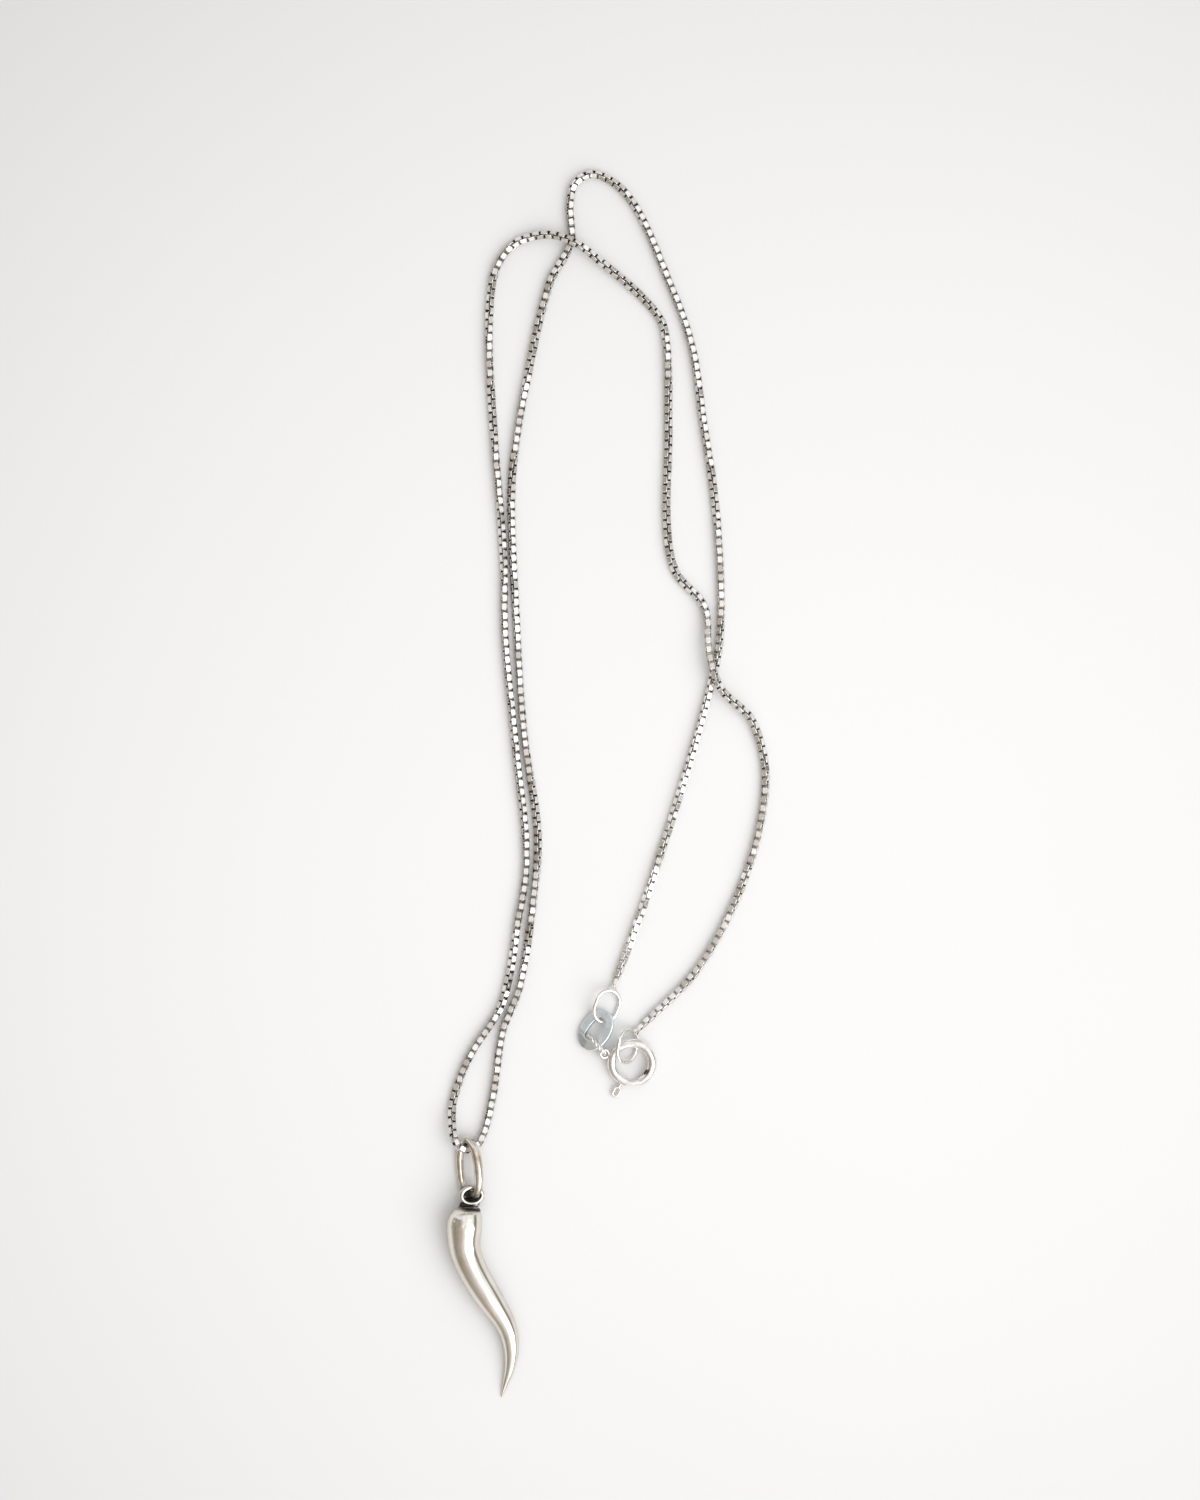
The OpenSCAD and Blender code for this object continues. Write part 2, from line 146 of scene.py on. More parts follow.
def ball(rows: int, columns: int) -> tuple[Array, Array, Array]:
    """Works out a ball of radius one, with (cos r cos t, cos r sin t, sin r) at rise r and turn t.

    Args:
        rows: The number of rises, from its lowest point to its highest.
        columns: The number of turns.

    Returns:
        The points, and each one's rise and turn in radians.
    """
    rise, turn = np.meshgrid(np.linspace(-math.pi / 2, math.pi / 2, rows), circle(columns), indexing="ij")
    points = np.stack([np.cos(rise) * np.cos(turn), np.cos(rise) * np.sin(turn), np.sin(rise)], axis=-1)
    return points, rise, turn


def smooth_rows(rows: Array, per_stretch: int, closed: bool = False) -> Array:
    """Carries a smooth curve through rows of numbers.

    Each stretch is a cubic Hermite curve. The slope at a row is the step between its two
    neighbours over the sum of its two stretch lengths, as in the CAD source.

    Args:
        rows: The rows to pass through, one a line.
        per_stretch: The number of points for each stretch.
        closed: Whether the curve goes on from the last row to the first.

    Returns:
        Points along the curve, the last row included where it isn't closed.
    """
    if closed:
        wrapped = smooth_rows(np.vstack([rows[-2:], rows, rows[:3]]), per_stretch)
        return wrapped[2 * per_stretch:(2 + len(rows)) * per_stretch]
    gaps = np.linalg.norm(np.diff(rows, axis=0), axis=1)[:, None]
    slopes = np.empty_like(rows)
    slopes[0] = (rows[1] - rows[0]) / gaps[0]
    slopes[-1] = (rows[-1] - rows[-2]) / gaps[-1]
    slopes[1:-1] = (rows[2:] - rows[:-2]) / (gaps[:-1] + gaps[1:])
    u = np.linspace(0, 1, per_stretch, endpoint=False)[None, :, None]
    v = 1 - u
    low, high = rows[:-1, None], rows[1:, None]
    points = (
        v * v * (1 + 2 * u) * low
        + u * u * (1 + 2 * v) * high
        + u * v * gaps[:, None] * (v * slopes[:-1, None] - u * slopes[1:, None])
    )
    return np.vstack([points.reshape(-1, rows.shape[1]), rows[-1:]])


def distances(points: Array) -> Array:
    """Gives each point's distance along the line of points."""
    steps = np.linalg.norm(np.diff(points, axis=0), axis=1)
    return np.concatenate([[0.0], np.cumsum(steps)])


def sampled(points: Array, where: Array) -> Array:
    """Reads a line of points at the given distances along it."""
    along = distances(points)
    return np.stack([np.interp(where, along, column) for column in points.T], axis=1)


@dataclass
class Surface:
    """A mesh in the making: corners, four-sided faces and values at the corners."""

    corners: Array
    faces: Array
    values: dict[str, Array] = field(default_factory=dict)
    smooth: Array | bool = True

    @staticmethod
    def from_grid(points: Array, close_rows: bool = False, close_columns: bool = True,
                  values: dict[str, Array] | None = None) -> "Surface":
        """Joins a grid of points into faces.

        Args:
            points: The grid, rows by columns by three.
            close_rows: Whether the last row joins the first.
            close_columns: Whether the last column joins the first.
            values: Named values, one for each grid point.

        Returns:
            The surface, with outward faces where columns run anticlockwise about the rows' way.
        """
        rows, columns = points.shape[:2]
        i, j = np.meshgrid(
            np.arange(rows if close_rows else rows - 1),
            np.arange(columns if close_columns else columns - 1), indexing="ij",
        )
        next_i, next_j = (i + 1) % rows, (j + 1) % columns
        corners = [i * columns + j, i * columns + next_j, next_i * columns + next_j, next_i * columns + j]
        faces = np.stack(corners, axis=-1).reshape(-1, 4)
        flat = {name: value.reshape(-1) for name, value in (values or {}).items()}
        return Surface(points.reshape(-1, 3), faces, flat)

    @staticmethod
    def wire(path: Array, radius: Array | float, normal: Array, around: int,
             values: dict[str, Array] | None = None) -> "Surface":
        """Carries a round section along a closed path.

        The section's first direction is the normal made square to the path, and its second is
        the path's way crossed with the first.

        Args:
            path: The path's points, without a repeat of the first.
            radius: The section's radius, one for all or one for each point.
            normal: A direction roughly square to the path, one for all points.
            around: The number of points round the section.
            values: Named values, one for each grid point.

        Returns:
            The closed tube, with its own round_x, round_y and along values.
        """
        way = unit(np.roll(path, -1, axis=0) - np.roll(path, 1, axis=0))
        second = unit(np.cross(way, normal))
        first = np.cross(second, way)
        turn = circle(around)[None, :, None]
        reach = np.broadcast_to(radius, len(path))[:, None, None]
        points = path[:, None] + reach * (np.cos(turn) * first[:, None] + np.sin(turn) * second[:, None])
        shape = points.shape[:2]
        marks = {
            "round_x": np.broadcast_to(np.cos(turn[..., 0]), shape),
            "round_y": np.broadcast_to(np.sin(turn[..., 0]), shape),
            "along": np.broadcast_to(distances(path)[:, None], shape),
        }
        return Surface.from_grid(points, close_rows=True, values={**marks, **(values or {})})

    @staticmethod
    def joined(parts: Sequence["Surface"]) -> "Surface":
        """Puts several surfaces into one, with zero where one lacks a named value.

        Args:
            parts: The surfaces.

        Returns:
            The one surface.
        """
        names = sorted({name for part in parts for name in part.values})
        starts = np.cumsum([0] + [len(part.corners) for part in parts[:-1]])
        blank = [np.zeros(len(part.corners)) for part in parts]
        return Surface(
            np.vstack([part.corners for part in parts]),
            np.vstack([part.faces + start for part, start in zip(parts, starts)]),
            {name: np.concatenate([part.values.get(name, zero) for part, zero in zip(parts, blank)])
             for name in names},
        )

    def as_object(self, name: str, material: bpy.types.Material) -> bpy.types.Object:
        """Makes the Blender object, which sits at the origin with its place in its mesh.

        Args:
            name: The object's name.
            material: Its material.

        Returns:
            The new object, linked to the scene.
        """
        mesh = bpy.data.meshes.new(name)
        mesh.from_pydata(self.corners.tolist(), [], self.faces.tolist())
        for label, value in self.values.items():
            attribute = mesh.attributes.new(label, "FLOAT", "POINT")
            attribute.data.foreach_set("value", value.astype(np.float32))
        smooth = np.array(np.broadcast_to(self.smooth, len(mesh.polygons)))
        mesh.polygons.foreach_set("use_smooth", smooth)
        welded = bmesh.new()
        welded.from_mesh(mesh)
        bmesh.ops.remove_doubles(welded, verts=welded.verts, dist=WELD)
        welded.to_mesh(mesh)
        welded.free()
        mesh.materials.append(material)
        piece = bpy.data.objects.new(name, mesh)
        bpy.context.scene.collection.objects.link(piece)
        log.info("%s: %d faces", name, len(mesh.polygons))
        return piece


class Tree:
    """Adds nodes to a material or group and joins them."""

    def __init__(self, tree: bpy.types.NodeTree) -> None:
        """Empties the tree and keeps it."""
        self.tree = tree
        tree.nodes.clear()

    def add(self, kind: str, inputs: dict[str | int, Any] | None = None, **settings: Any) -> bpy.types.Node:
        """Adds one node.

        Args:
            kind: The node's type, such as ShaderNodeMix.
            inputs: Values or sockets for its inputs, by name or number.
            settings: Values for its own settings.

        Returns:
            The node.
        """
        node = self.tree.nodes.new(kind)
        for name, value in settings.items():
            setattr(node, name, value)
        for name, value in (inputs or {}).items():
            if isinstance(value, bpy.types.NodeSocket):
                self.tree.links.new(value, node.inputs[name])
            else:
                node.inputs[name].default_value = value
        return node

    def place(self) -> bpy.types.NodeSocket:
        """Gives the place on the piece, in its object coordinates."""
        return self.add("ShaderNodeTexCoord").outputs["Object"]

    def read(self, name: str) -> bpy.types.NodeSocket:
        """Reads one of the piece's named values."""
        return self.add("ShaderNodeAttribute", attribute_name=name).outputs["Fac"]

    def noise(self, place: Any, scale: Any, detail: float) -> bpy.types.NodeSocket:
        """Adds a noise texture and gives its value."""
        return self.add("ShaderNodeTexNoise", {"Vector": place, "Scale": scale, "Detail": detail}).outputs[0]

    def math(self, operation: str, first: Any, second: Any, clamp: bool = False) -> bpy.types.NodeSocket:
        """Adds a Math node and gives its result."""
        node = self.add("ShaderNodeMath", {0: first, 1: second}, operation=operation, use_clamp=clamp)
        return node.outputs[0]

    def blend(self, share: Any, low: Any, high: Any) -> bpy.types.NodeSocket:
        """Mixes two colours by a share and gives the result."""
        node = self.add("ShaderNodeMix", {0: share, 6: low, 7: high}, data_type="RGBA")
        return node.outputs[2]

    def ramp(self, value: Any, low: float, high: float) -> bpy.types.NodeSocket:
        """Stretches the span between low and high to the span between nought and one."""
        node = self.add("ShaderNodeMapRange", {0: value, 1: low, 2: high}, interpolation_type="SMOOTHSTEP")
        return node.outputs[0]


def group(name: str, inputs: dict[str, Any], outputs: dict[str, str],
          build: Callable[[Tree, bpy.types.Node], dict[str, Any]]) -> bpy.types.NodeTree:
    """Makes a shader node group.

    Args:
        name: The group's name.
        inputs: Each input's default value, by name: a number or a colour.
        outputs: Each output's socket type, by name.
        build: Fills the group from its input node, and gives the socket for each output.

    Returns:
        The group.
    """
    made = bpy.data.node_groups.new(name, "ShaderNodeTree")
    for label, value in inputs.items():
        kind = COLOUR if isinstance(value, tuple) else NUMBER
        made.interface.new_socket(label, in_out="INPUT", socket_type=kind).default_value = value
    for label, kind in outputs.items():
        made.interface.new_socket(label, in_out="OUTPUT", socket_type=kind)
    tree = Tree(made)
    start = tree.add("NodeGroupInput")
    tree.add("NodeGroupOutput", build(tree, start))
    return made


def fill_tarnish(tree: Tree, start: bpy.types.Node) -> dict[str, Any]:
    """Cloudy film: two sizes of noise, the finer one breaking the edge of the coarser one.

    Args:
        tree: The group's tree.
        start: Its input node.

    Returns:
        The sockets of the film's colour and mask.
    """
    finer, fine_share, film_from, film_full = 5.0, 0.35, 0.55, 0.85
    place = tree.place()
    coarse = tree.noise(place, start.outputs["Scale"], 4.0)
    fine = tree.noise(place, tree.math("MULTIPLY", start.outputs["Scale"], finer), 2.0)
    both = tree.math("ADD", coarse, tree.math("MULTIPLY", fine, fine_share))
    film = tree.math("MULTIPLY", tree.ramp(both, film_from, film_full), start.outputs["Amount"])
    colour = tree.blend(film, start.outputs["Clean"], start.outputs["Film"])
    return {"Colour": colour, "Mask": film}


def fill_wear(tree: Tree, start: bpy.types.Node) -> dict[str, Any]:
    """Handling marks: hairline scratches from two stretched noises, and small pits from cells.

    Args:
        tree: The group's tree.
        start: Its input node.

    Returns:
        The sockets of the marks' height, the scratches and the pits.
    """
    hairlines = ((0.35, 7.0), (-1.1, 11.0))
    hair_span, rare_span, pit_span = (0.66, 0.72), (0.78, 0.8), (0.16, 0.04)
    scratch_depth, pit_depth = -0.4, -1.0
    place = tree.place()
    lines = []
    for turn, stretch in hairlines:
        turned = tree.add("ShaderNodeMapping", {
            "Vector": place, "Rotation": (0.1, 0.2, turn), "Scale": (stretch, 1.0, stretch),
        })
        hair = tree.noise(turned.outputs[0], start.outputs["Scratch scale"], 2.0)
        lines.append(tree.ramp(hair, *hair_span))
    scratch = tree.math("MAXIMUM", lines[0], lines[1])
    cells = tree.add("ShaderNodeTexVoronoi", {"Vector": place, "Scale": start.outputs["Pit scale"]})
    chance = tree.add("ShaderNodeSeparateColor", {0: cells.outputs["Color"]}).outputs[0]
    rare = tree.ramp(chance, *rare_span)
    pit = tree.math("MULTIPLY", tree.ramp(cells.outputs["Distance"], *pit_span), rare)
    height = tree.math(
        "ADD", tree.math("MULTIPLY", scratch, scratch_depth), tree.math("MULTIPLY", pit, pit_depth),
    )
    return {"Height": height, "Scratches": scratch, "Pits": pit}


def fill_brushing(tree: Tree, start: bpy.types.Node) -> dict[str, Any]:
    """Brush marks: one noise stretched along a turned direction.

    Args:
        tree: The group's tree.
        start: Its input node.

    Returns:
        The socket of the marks' height.
    """
    drawn_out = 16.0
    turned = tree.add("ShaderNodeVectorRotate", {"Vector": tree.place(), "Angle": start.outputs["Turn"]},
                      rotation_type="Z_AXIS")
    drawn = tree.add("ShaderNodeMapping", {"Vector": turned.outputs[0], "Scale": (1.0, drawn_out, 1.0)})
    return {"Height": tree.noise(drawn.outputs[0], start.outputs["Scale"], 3.0)}


def fill_streaks(tree: Tree, start: bpy.types.Node) -> dict[str, Any]:
    """Streaks drawn out along a piece: noise that changes fast round the section, slowly along.

    Args:
        tree: The group's tree.
        start: Its input node.

    Returns:
        The socket of the streaks' mask.
    """
    streak_from, streak_full = 0.42, 0.66
    place = tree.add("ShaderNodeCombineXYZ", {
        0: tree.math("MULTIPLY", tree.read("round_x"), start.outputs["Round"]),
        1: tree.math("MULTIPLY", tree.read("round_y"), start.outputs["Round"]),
        2: tree.math("MULTIPLY", tree.read("along"), start.outputs["Along"]),
    })
    return {"Mask": tree.ramp(tree.noise(place.outputs[0], 1.0, 5.0), streak_from, streak_full)}


@dataclass
class Effects:
    """The shader node groups that several finishes share."""

    tarnish: bpy.types.NodeTree
    wear: bpy.types.NodeTree
    brushing: bpy.types.NodeTree
    streaks: bpy.types.NodeTree

    @staticmethod
    def build() -> "Effects":
        """Makes the four groups.

        Returns:
            The groups.
        """
        clean, film = (0.9, 0.89, 0.87, 1.0), (0.5, 0.42, 0.34, 1.0)
        tarnish = group("tarnish film", {"Scale": 400.0, "Amount": 0.5, "Clean": clean, "Film": film},
                        {"Colour": COLOUR, "Mask": NUMBER}, fill_tarnish)
        wear = group("handling marks", {"Scratch scale": 300.0, "Pit scale": 900.0},
                     {"Height": NUMBER, "Scratches": NUMBER, "Pits": NUMBER}, fill_wear)
        brushing = group("brush marks", {"Scale": 1500.0, "Turn": 0.0}, {"Height": NUMBER}, fill_brushing)
        streaks = group("drawn streaks", {"Round": 9.0, "Along": 350.0}, {"Mask": NUMBER}, fill_streaks)
        return Effects(tarnish, wear, brushing, streaks)


@dataclass(frozen=True)
class SilverFinish:
    """One finish of silver: its colours, its film, its marks and how it scatters light."""

    name: str
    clean: Colour = (0.91, 0.9, 0.88, 1.0)
    film: Colour = (0.52, 0.44, 0.36, 1.0)
    # Dark colour for grime and for painted shade, mixed in by the piece's grime value
    grime: Colour = (0.06, 0.05, 0.045, 1.0)
    grime_scale: float = 2200.0
    film_amount: float = 0.5
    film_scale: float = 350.0
    roughness: float = 0.14
    roughness_spread: float = 0.12
    marks: float = 0.6
    scratch_scale: float = 900.0
    pit_scale: float = 900.0
    relief: float = 0.02 * MM
    brushing: float = 0.0
    brush_turn: float = 0.0
    tint: Colour = (0.42, 0.36, 0.29, 1.0)
    tint_spread: float = 0.0
    streaks: float = 0.0
    patch_spread: float = 1.2
    patch_least: float = 0.4
    pit_dirt: float = 0.6
    scratch_dullness: float = 0.12
    dirt_dullness: float = 0.35

    def build(self, effects: Effects) -> bpy.types.Material:
        """Makes the material.

        The film's colour is mixed under the grime colour, which the piece's own grime value places in
        patches; that value holds real grime and painted shade, so the grime colour also paints shade.
        The piece's tint value mixes in the finish's tint.

        Args:
            effects: The shared node groups.

        Returns:
            The material.
        """
        material = bpy.data.materials.new(self.name)
        material.use_nodes = True
        tree = Tree(material.node_tree)
        film = tree.add("ShaderNodeGroup", node_tree=effects.tarnish, inputs={
            "Scale": self.film_scale, "Amount": self.film_amount, "Clean": self.clean, "Film": self.film,
        })
        marks = tree.add("ShaderNodeGroup", node_tree=effects.wear, inputs={
            "Scratch scale": self.scratch_scale, "Pit scale": self.pit_scale,
        })
        base = film.outputs["Colour"]
        if self.streaks:
            drawn = tree.add("ShaderNodeGroup", node_tree=effects.streaks)
            base = tree.blend(tree.math("MULTIPLY", drawn.outputs["Mask"], self.streaks), base, self.film)
        tinted = tree.blend(tree.math("MULTIPLY", tree.read("tint"), self.tint_spread), base, self.tint)
        patches = tree.noise(tree.place(), self.grime_scale, 3.0)
        patchy = tree.math("ADD", tree.math("MULTIPLY", patches, self.patch_spread), self.patch_least)
        # Grime and painted shade from the piece's own value, broken into patches
        grime = tree.math("MULTIPLY", tree.read("grime"), patchy, clamp=True)
        pitted = tree.math("MULTIPLY", marks.outputs["Pits"], self.pit_dirt * self.marks)
        dirt_and_shade = tree.math("MAXIMUM", grime, pitted)
        dull = self.roughness
        for mask, share in ((film.outputs["Mask"], self.roughness_spread),
                            (marks.outputs["Scratches"], self.scratch_dullness * self.marks),
                            (dirt_and_shade, self.dirt_dullness)):
            dull = tree.math("ADD", dull, tree.math("MULTIPLY", mask, share), clamp=True)
        height = tree.math("MULTIPLY", marks.outputs["Height"], self.marks)
        if self.brushing:
            brush = tree.add("ShaderNodeGroup", {"Turn": self.brush_turn}, node_tree=effects.brushing)
            height = tree.math("ADD", height, tree.math("MULTIPLY", brush.outputs["Height"], self.brushing))
        bump = tree.add("ShaderNodeBump", {"Strength": 1.0, "Distance": self.relief, "Height": height})
        shader = tree.add("ShaderNodeBsdfPrincipled", {
            "Base Color": tree.blend(dirt_and_shade, tinted, self.grime), "Metallic": 1.0, "Roughness": dull,
            "Normal": bump.outputs[0],
        })
        tree.add("ShaderNodeOutputMaterial", {"Surface": shader.outputs[0]})
        return material


HORN_SILVER = SilverFinish("horn silver", clean=(0.82, 0.79, 0.735, 1.0), film=(0.62, 0.55, 0.46, 1.0),
                           film_amount=0.4, film_scale=420.0, roughness=0.12, marks=0.12, relief=0.01 * MM,
                           streaks=0.4)
BAIL_SILVER = SilverFinish("bail silver", clean=(0.8, 0.76, 0.7, 1.0), film=(0.46, 0.38, 0.3, 1.0),
                           film_amount=0.8, film_scale=700.0, roughness=0.13, marks=0.15, relief=0.01 * MM,
                           streaks=0.6)
LINK_SILVER = SilverFinish("link silver", clean=(0.98, 0.97, 0.95, 1.0), grime=(0.05, 0.04, 0.032, 1.0),
                           film_amount=0.3, film_scale=900.0, roughness=0.17, marks=0.2, tint_spread=0.5)
RING_SILVER = SilverFinish("ring silver", film_amount=0.4, film_scale=600.0, roughness=0.12)
CLASP_SILVER = SilverFinish("clasp silver", clean=(0.9, 0.89, 0.88, 1.0), film=(0.62, 0.53, 0.47, 1.0),
                            film_amount=0.55, film_scale=700.0, roughness=0.05, marks=0.1)
BOLT_SILVER = SilverFinish("bolt silver", film_amount=0.45, film_scale=500.0, roughness=0.13, marks=0.3)
TAG_SILVER = SilverFinish("tag silver", clean=(0.83, 0.89, 0.92, 1.0), film=(0.6, 0.66, 0.69, 1.0),
                          film_amount=0.7, film_scale=500.0, roughness=0.27, marks=0.2, brushing=0.8,
                          brush_turn=0.45)


@dataclass(frozen=True)
class MattSurface:
    """The finish of the pale matt surface that the piece lies on."""

    name: str = "pale matt surface"
    light: Colour = (0.85, 0.852, 0.852, 1.0)
    dark: Colour = (0.836, 0.837, 0.837, 1.0)
    shade: Colour = (0.564, 0.567, 0.571, 1.0)
    # Painted pool of light: brightest here, falling off to the shade colour
    brightest: tuple[float, float, float] = (20 * MM, -10 * MM, 0.0)
    reach: float = 130 * MM
    shading: float = 0.6
    cloud_scale: float = 25.0
    grain_scale: float = 900.0
    grain_strength: float = 0.4
    relief: float = 0.03 * MM
    roughness: float = 0.95

    def build(self) -> bpy.types.Material:
        """Makes the material: a faint cloud of two tones with a fine paper grain.

        Its tone falls off with the square of the distance from its brightest place towards the shade colour:
        a painted pool of light.

        Returns:
            The material.
        """
        material = bpy.data.materials.new(self.name)
        material.use_nodes = True
        tree = Tree(material.node_tree)
        place = tree.place()
        cloud = tree.blend(tree.noise(place, self.cloud_scale, 3.0), self.light, self.dark)
        grain = tree.noise(place, self.grain_scale, 4.0)
        away = tree.add("ShaderNodeVectorMath", {0: place, 1: self.brightest}, operation="DISTANCE")
        share = tree.math("POWER", tree.math("DIVIDE", away.outputs["Value"], self.reach), 2.0)
        falloff = tree.math("MINIMUM", tree.math("MULTIPLY", share, self.shading), 1.0)
        bump = tree.add("ShaderNodeBump", {
            "Strength": self.grain_strength, "Distance": self.relief, "Height": grain,
        })
        shader = tree.add("ShaderNodeBsdfPrincipled", {
            "Base Color": tree.blend(falloff, cloud, self.shade), "Roughness": self.roughness,
            "Normal": bump.outputs[0],
        })
        tree.add("ShaderNodeOutputMaterial", {"Surface": shader.outputs[0]})
        return material


class Strand(Enum):
    """The two halves of the chain: CAD node, first and last row of the route."""

    TAG_SIDE = ("chain_tag_side", 0, MEETING)
    CLASP_SIDE = ("chain_clasp_side", MEETING, len(ROUTE) - 1)


@dataclass
class BoxChain:
    """Box chain of folded square links, each turned a quarter round from the one before."""

    width: float = 0.85 * MM
    strip: float = 0.55 * MM
    metal: float = 0.13 * MM
    link_length: float = 0.85 * MM
    pitch: float = 0.52 * MM
    corner: float = 0.13 * MM
    bevel: float = 0.035 * MM
    wobble: float = 0.085
    # Grime with painted shade on the inner faces and the loops' ends, painted shade on the sides of level
    # loops, and painted light that lessens both towards the chain's ends
    grime: float = 1.1
    end_grime_and_shade: float = 0.3
    side_shade: float = 0.5
    end_reach: float = 1.6 * MM
    end_slimness: float = 0.25
    bright_reach: float = 40.0 * MM
    bright_share: float = 0.65
    side_slope: float = 2.0
    side_start: float = 0.5
    tint_power: int = 3
    per_stretch: int = 24
    pillowed: Sequence[bool] = (True, False, True, False, False, False)
    seed: int = 4

    # Twist of the chain in degrees at distances in millimetres from the route's start: near a
    # multiple of 90 it shows one row of squares, and halfway between two staggered rows
    twists: Sequence[tuple[float, float]] = (
        (0, 0), (3, 45), (7, 70), (9, 50), (13, 68), (16, 112), (19, 135), (24, 150), (36, 160),
        (38, 135), (44, 110), (46, 92), (54, 90), (58, 45), (61, 45), (63, 68), (70, 66), (76, 80),
        (88, 84), (94, 68), (98, 50), (101, 45), (105, 20), (109, 12), (114, -35), (118, 0),
        (121, -35), (126, -45), (131, -90), (136, -90), (139, -135), (144, -160), (156, -160),
        (160, -175), (174, -180), (177, -225), (180, -225), (184, -205), (188, -180), (192, -180),
        (194, -225), (197, -250), (200, -270), (210, -265), (216, -270), (219, -275), (224, -310),
        (227, -318), (231, -360), (238, -362), (241, -405), (248, -385), (250, -360), (258, -365),
        (261, -382), (274, -382), (279, -375), (288, -365), (292, -395), (298, -390), (301, -365),
        (305, -365), (308, -405), (312, -405), (315, -450), (318, -452), (321, -490), (325, -485),
        (327, -540), (329, -540), (332, -585), (338, -596), (346, -585), (353, -588), (357, -630),
        (361, -660), (370, -675), (384, -675), (390, -720), (394, -722), (397, -765), (406, -760),
        (411, -740), (419, -722), (421, -765), (427, -725), (431, -735), (436, -742), (444, -748),
    )

    def ring(self) -> tuple[Array, Array]:
        """Works out one link in its own directions.

        A square loop lies in the plane of the chain's way and the link's breadth, with its four
        corners cut. Its strip's section has a bevel on both outer edges, and a point at depth d
        has its two coordinates scaled by one minus d over each half size.

        Returns:
            Points, eight by six by three, as way, breadth and depth along the loop's axis, and
            each one's grime with painted shade, from nought to one: by its depth, and at least so much
            on the loop's two ends.
        """
        half_l, half_w = self.link_length / 2, self.width / 2
        a, b = half_l - self.corner, half_w - self.corner
        loop = np.array([
            (half_l, -b), (half_l, b), (a, half_w), (-a, half_w),
            (-half_l, b), (-half_l, -b), (-a, -half_w), (a, -half_w),
        ])
        edge = self.strip / 2
        section = np.array([
            (self.bevel, edge), (0, edge - self.bevel), (0, -edge + self.bevel),
            (self.bevel, -edge), (self.metal, -edge), (self.metal, edge),
        ])
        depth = section[None, :, 0]
        shrink = np.stack([1 - depth / half_l, 1 - depth / half_w], axis=-1)
        flat = loop[:, None, :] * shrink
        across = np.broadcast_to(section[None, :, 1:], (len(loop), len(section), 1))
        # Grime with painted shade on the loop's ends, where the links cross
        ends = self.end_grime_and_shade * (np.abs(loop[:, :1]) > a)
        inside = np.maximum(depth / self.metal, ends)
        return np.concatenate([flat, across], axis=-1), inside

    def links(self, strand: Strand) -> Surface:
        """Sets the links of one half of the chain along the route.

        Link i's middle lies at (i + 1/2) pitches along the smooth route. Its way is the route's
        direction, and its loop's axis is the level direction square to it, turned by the twist
        and by a quarter turn for every second link. Towards the chain's two ends the links are
        slimmer and brighter, with less grime and painted shade. Grime with painted shade darkens
        the inner faces and ends of the loops, and painted shade darkens the sides of loops that lie level.

        Args:
            strand: The half of the chain.

        Returns:
            All its links as one surface.
        """
        line = smooth_rows(ROUTE, self.per_stretch)
        line[:, 2] = np.maximum(line[:, 2], 0) + self.width / 2
        along = distances(line)
        starts = np.searchsorted(np.arange(len(line)) // self.per_stretch, strand.value[1:])
        first, last = along[starts[0]], along[min(starts[1], len(line) - 1)]
        count = np.arange(math.ceil(first / self.pitch - 0.5), math.floor(last / self.pitch - 0.5) + 1)
        middle = (count + 0.5) * self.pitch
        place = sampled(line, middle)
        step = self.pitch / 2
        way = unit(sampled(line, middle + step) - sampled(line, middle - step))
        side = unit(np.cross(way, UP))
        lift = np.cross(side, way)
        chance = np.random.default_rng(self.seed + strand.value[1])
        table = np.array(self.twists)
        twist = np.radians(np.interp(middle / MM, table[:, 0], table[:, 1])) + (count % 2) * math.pi / 2
        twist = (twist + chance.normal(0, self.wobble, len(count)))[:, None]
        axis = np.cos(twist) * side + np.sin(twist) * lift
        tip = chance.normal(0, self.wobble / 2, (len(count), 1))
        way = unit(way + tip * axis)
        breadth = unit(np.cross(axis, way))
        axis = np.cross(way, breadth)
        shape, inside = self.ring()
        from_end = np.minimum(middle, along[-1] - middle)
        slim = (1 - self.end_slimness * np.exp(-from_end / self.end_reach))[:, None, None, None]
        points = (
            place[:, None, None]
            + shape[None, ..., 0:1] * way[:, None, None]
            + slim * shape[None, ..., 1:2] * breadth[:, None, None]
            + slim * shape[None, ..., 2:3] * axis[:, None, None]
        )
        one = Surface.from_grid(shape, close_rows=True)
        size = shape.shape[0] * shape.shape[1]
        faces = one.faces[None] + size * np.arange(len(count))[:, None, None]
        tint = np.repeat(chance.random(len(count)) ** self.tint_power, size)
        # Painted shade on the side faces of loops that lie level
        level = 1 - np.abs(np.einsum("ni,i->n", breadth, UP))[:, None, None]
        on_side = np.abs(shape[..., 1]) > self.width / 2 - self.metal
        outer = self.side_shade * np.clip(self.side_slope * level - self.side_start, 0, 1) * on_side
        # Painted light: grime and painted shade fade towards the chain's two ends
        dull = (1 - self.bright_share * np.exp(-from_end / self.bright_reach))[:, None, None]
        grime = (dull * np.maximum(self.grime * inside, outer)).reshape(-1)
        smooth = np.tile(self.pillowed, len(shape) * len(count))
        return Surface(points.reshape(-1, 3), faces.reshape(-1, 4), {"tint": tint, "grime": grime}, smooth)

    def build(self, material: bpy.types.Material) -> None:
        """Makes both halves and puts them in place of their tubes.

        Args:
            material: The links' material.
        """
        for strand in Strand:
            piece = self.links(strand).as_object(f"links_{strand.name.lower()}", material)
            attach(piece, NECKLACE)
            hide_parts(strand.value[0])


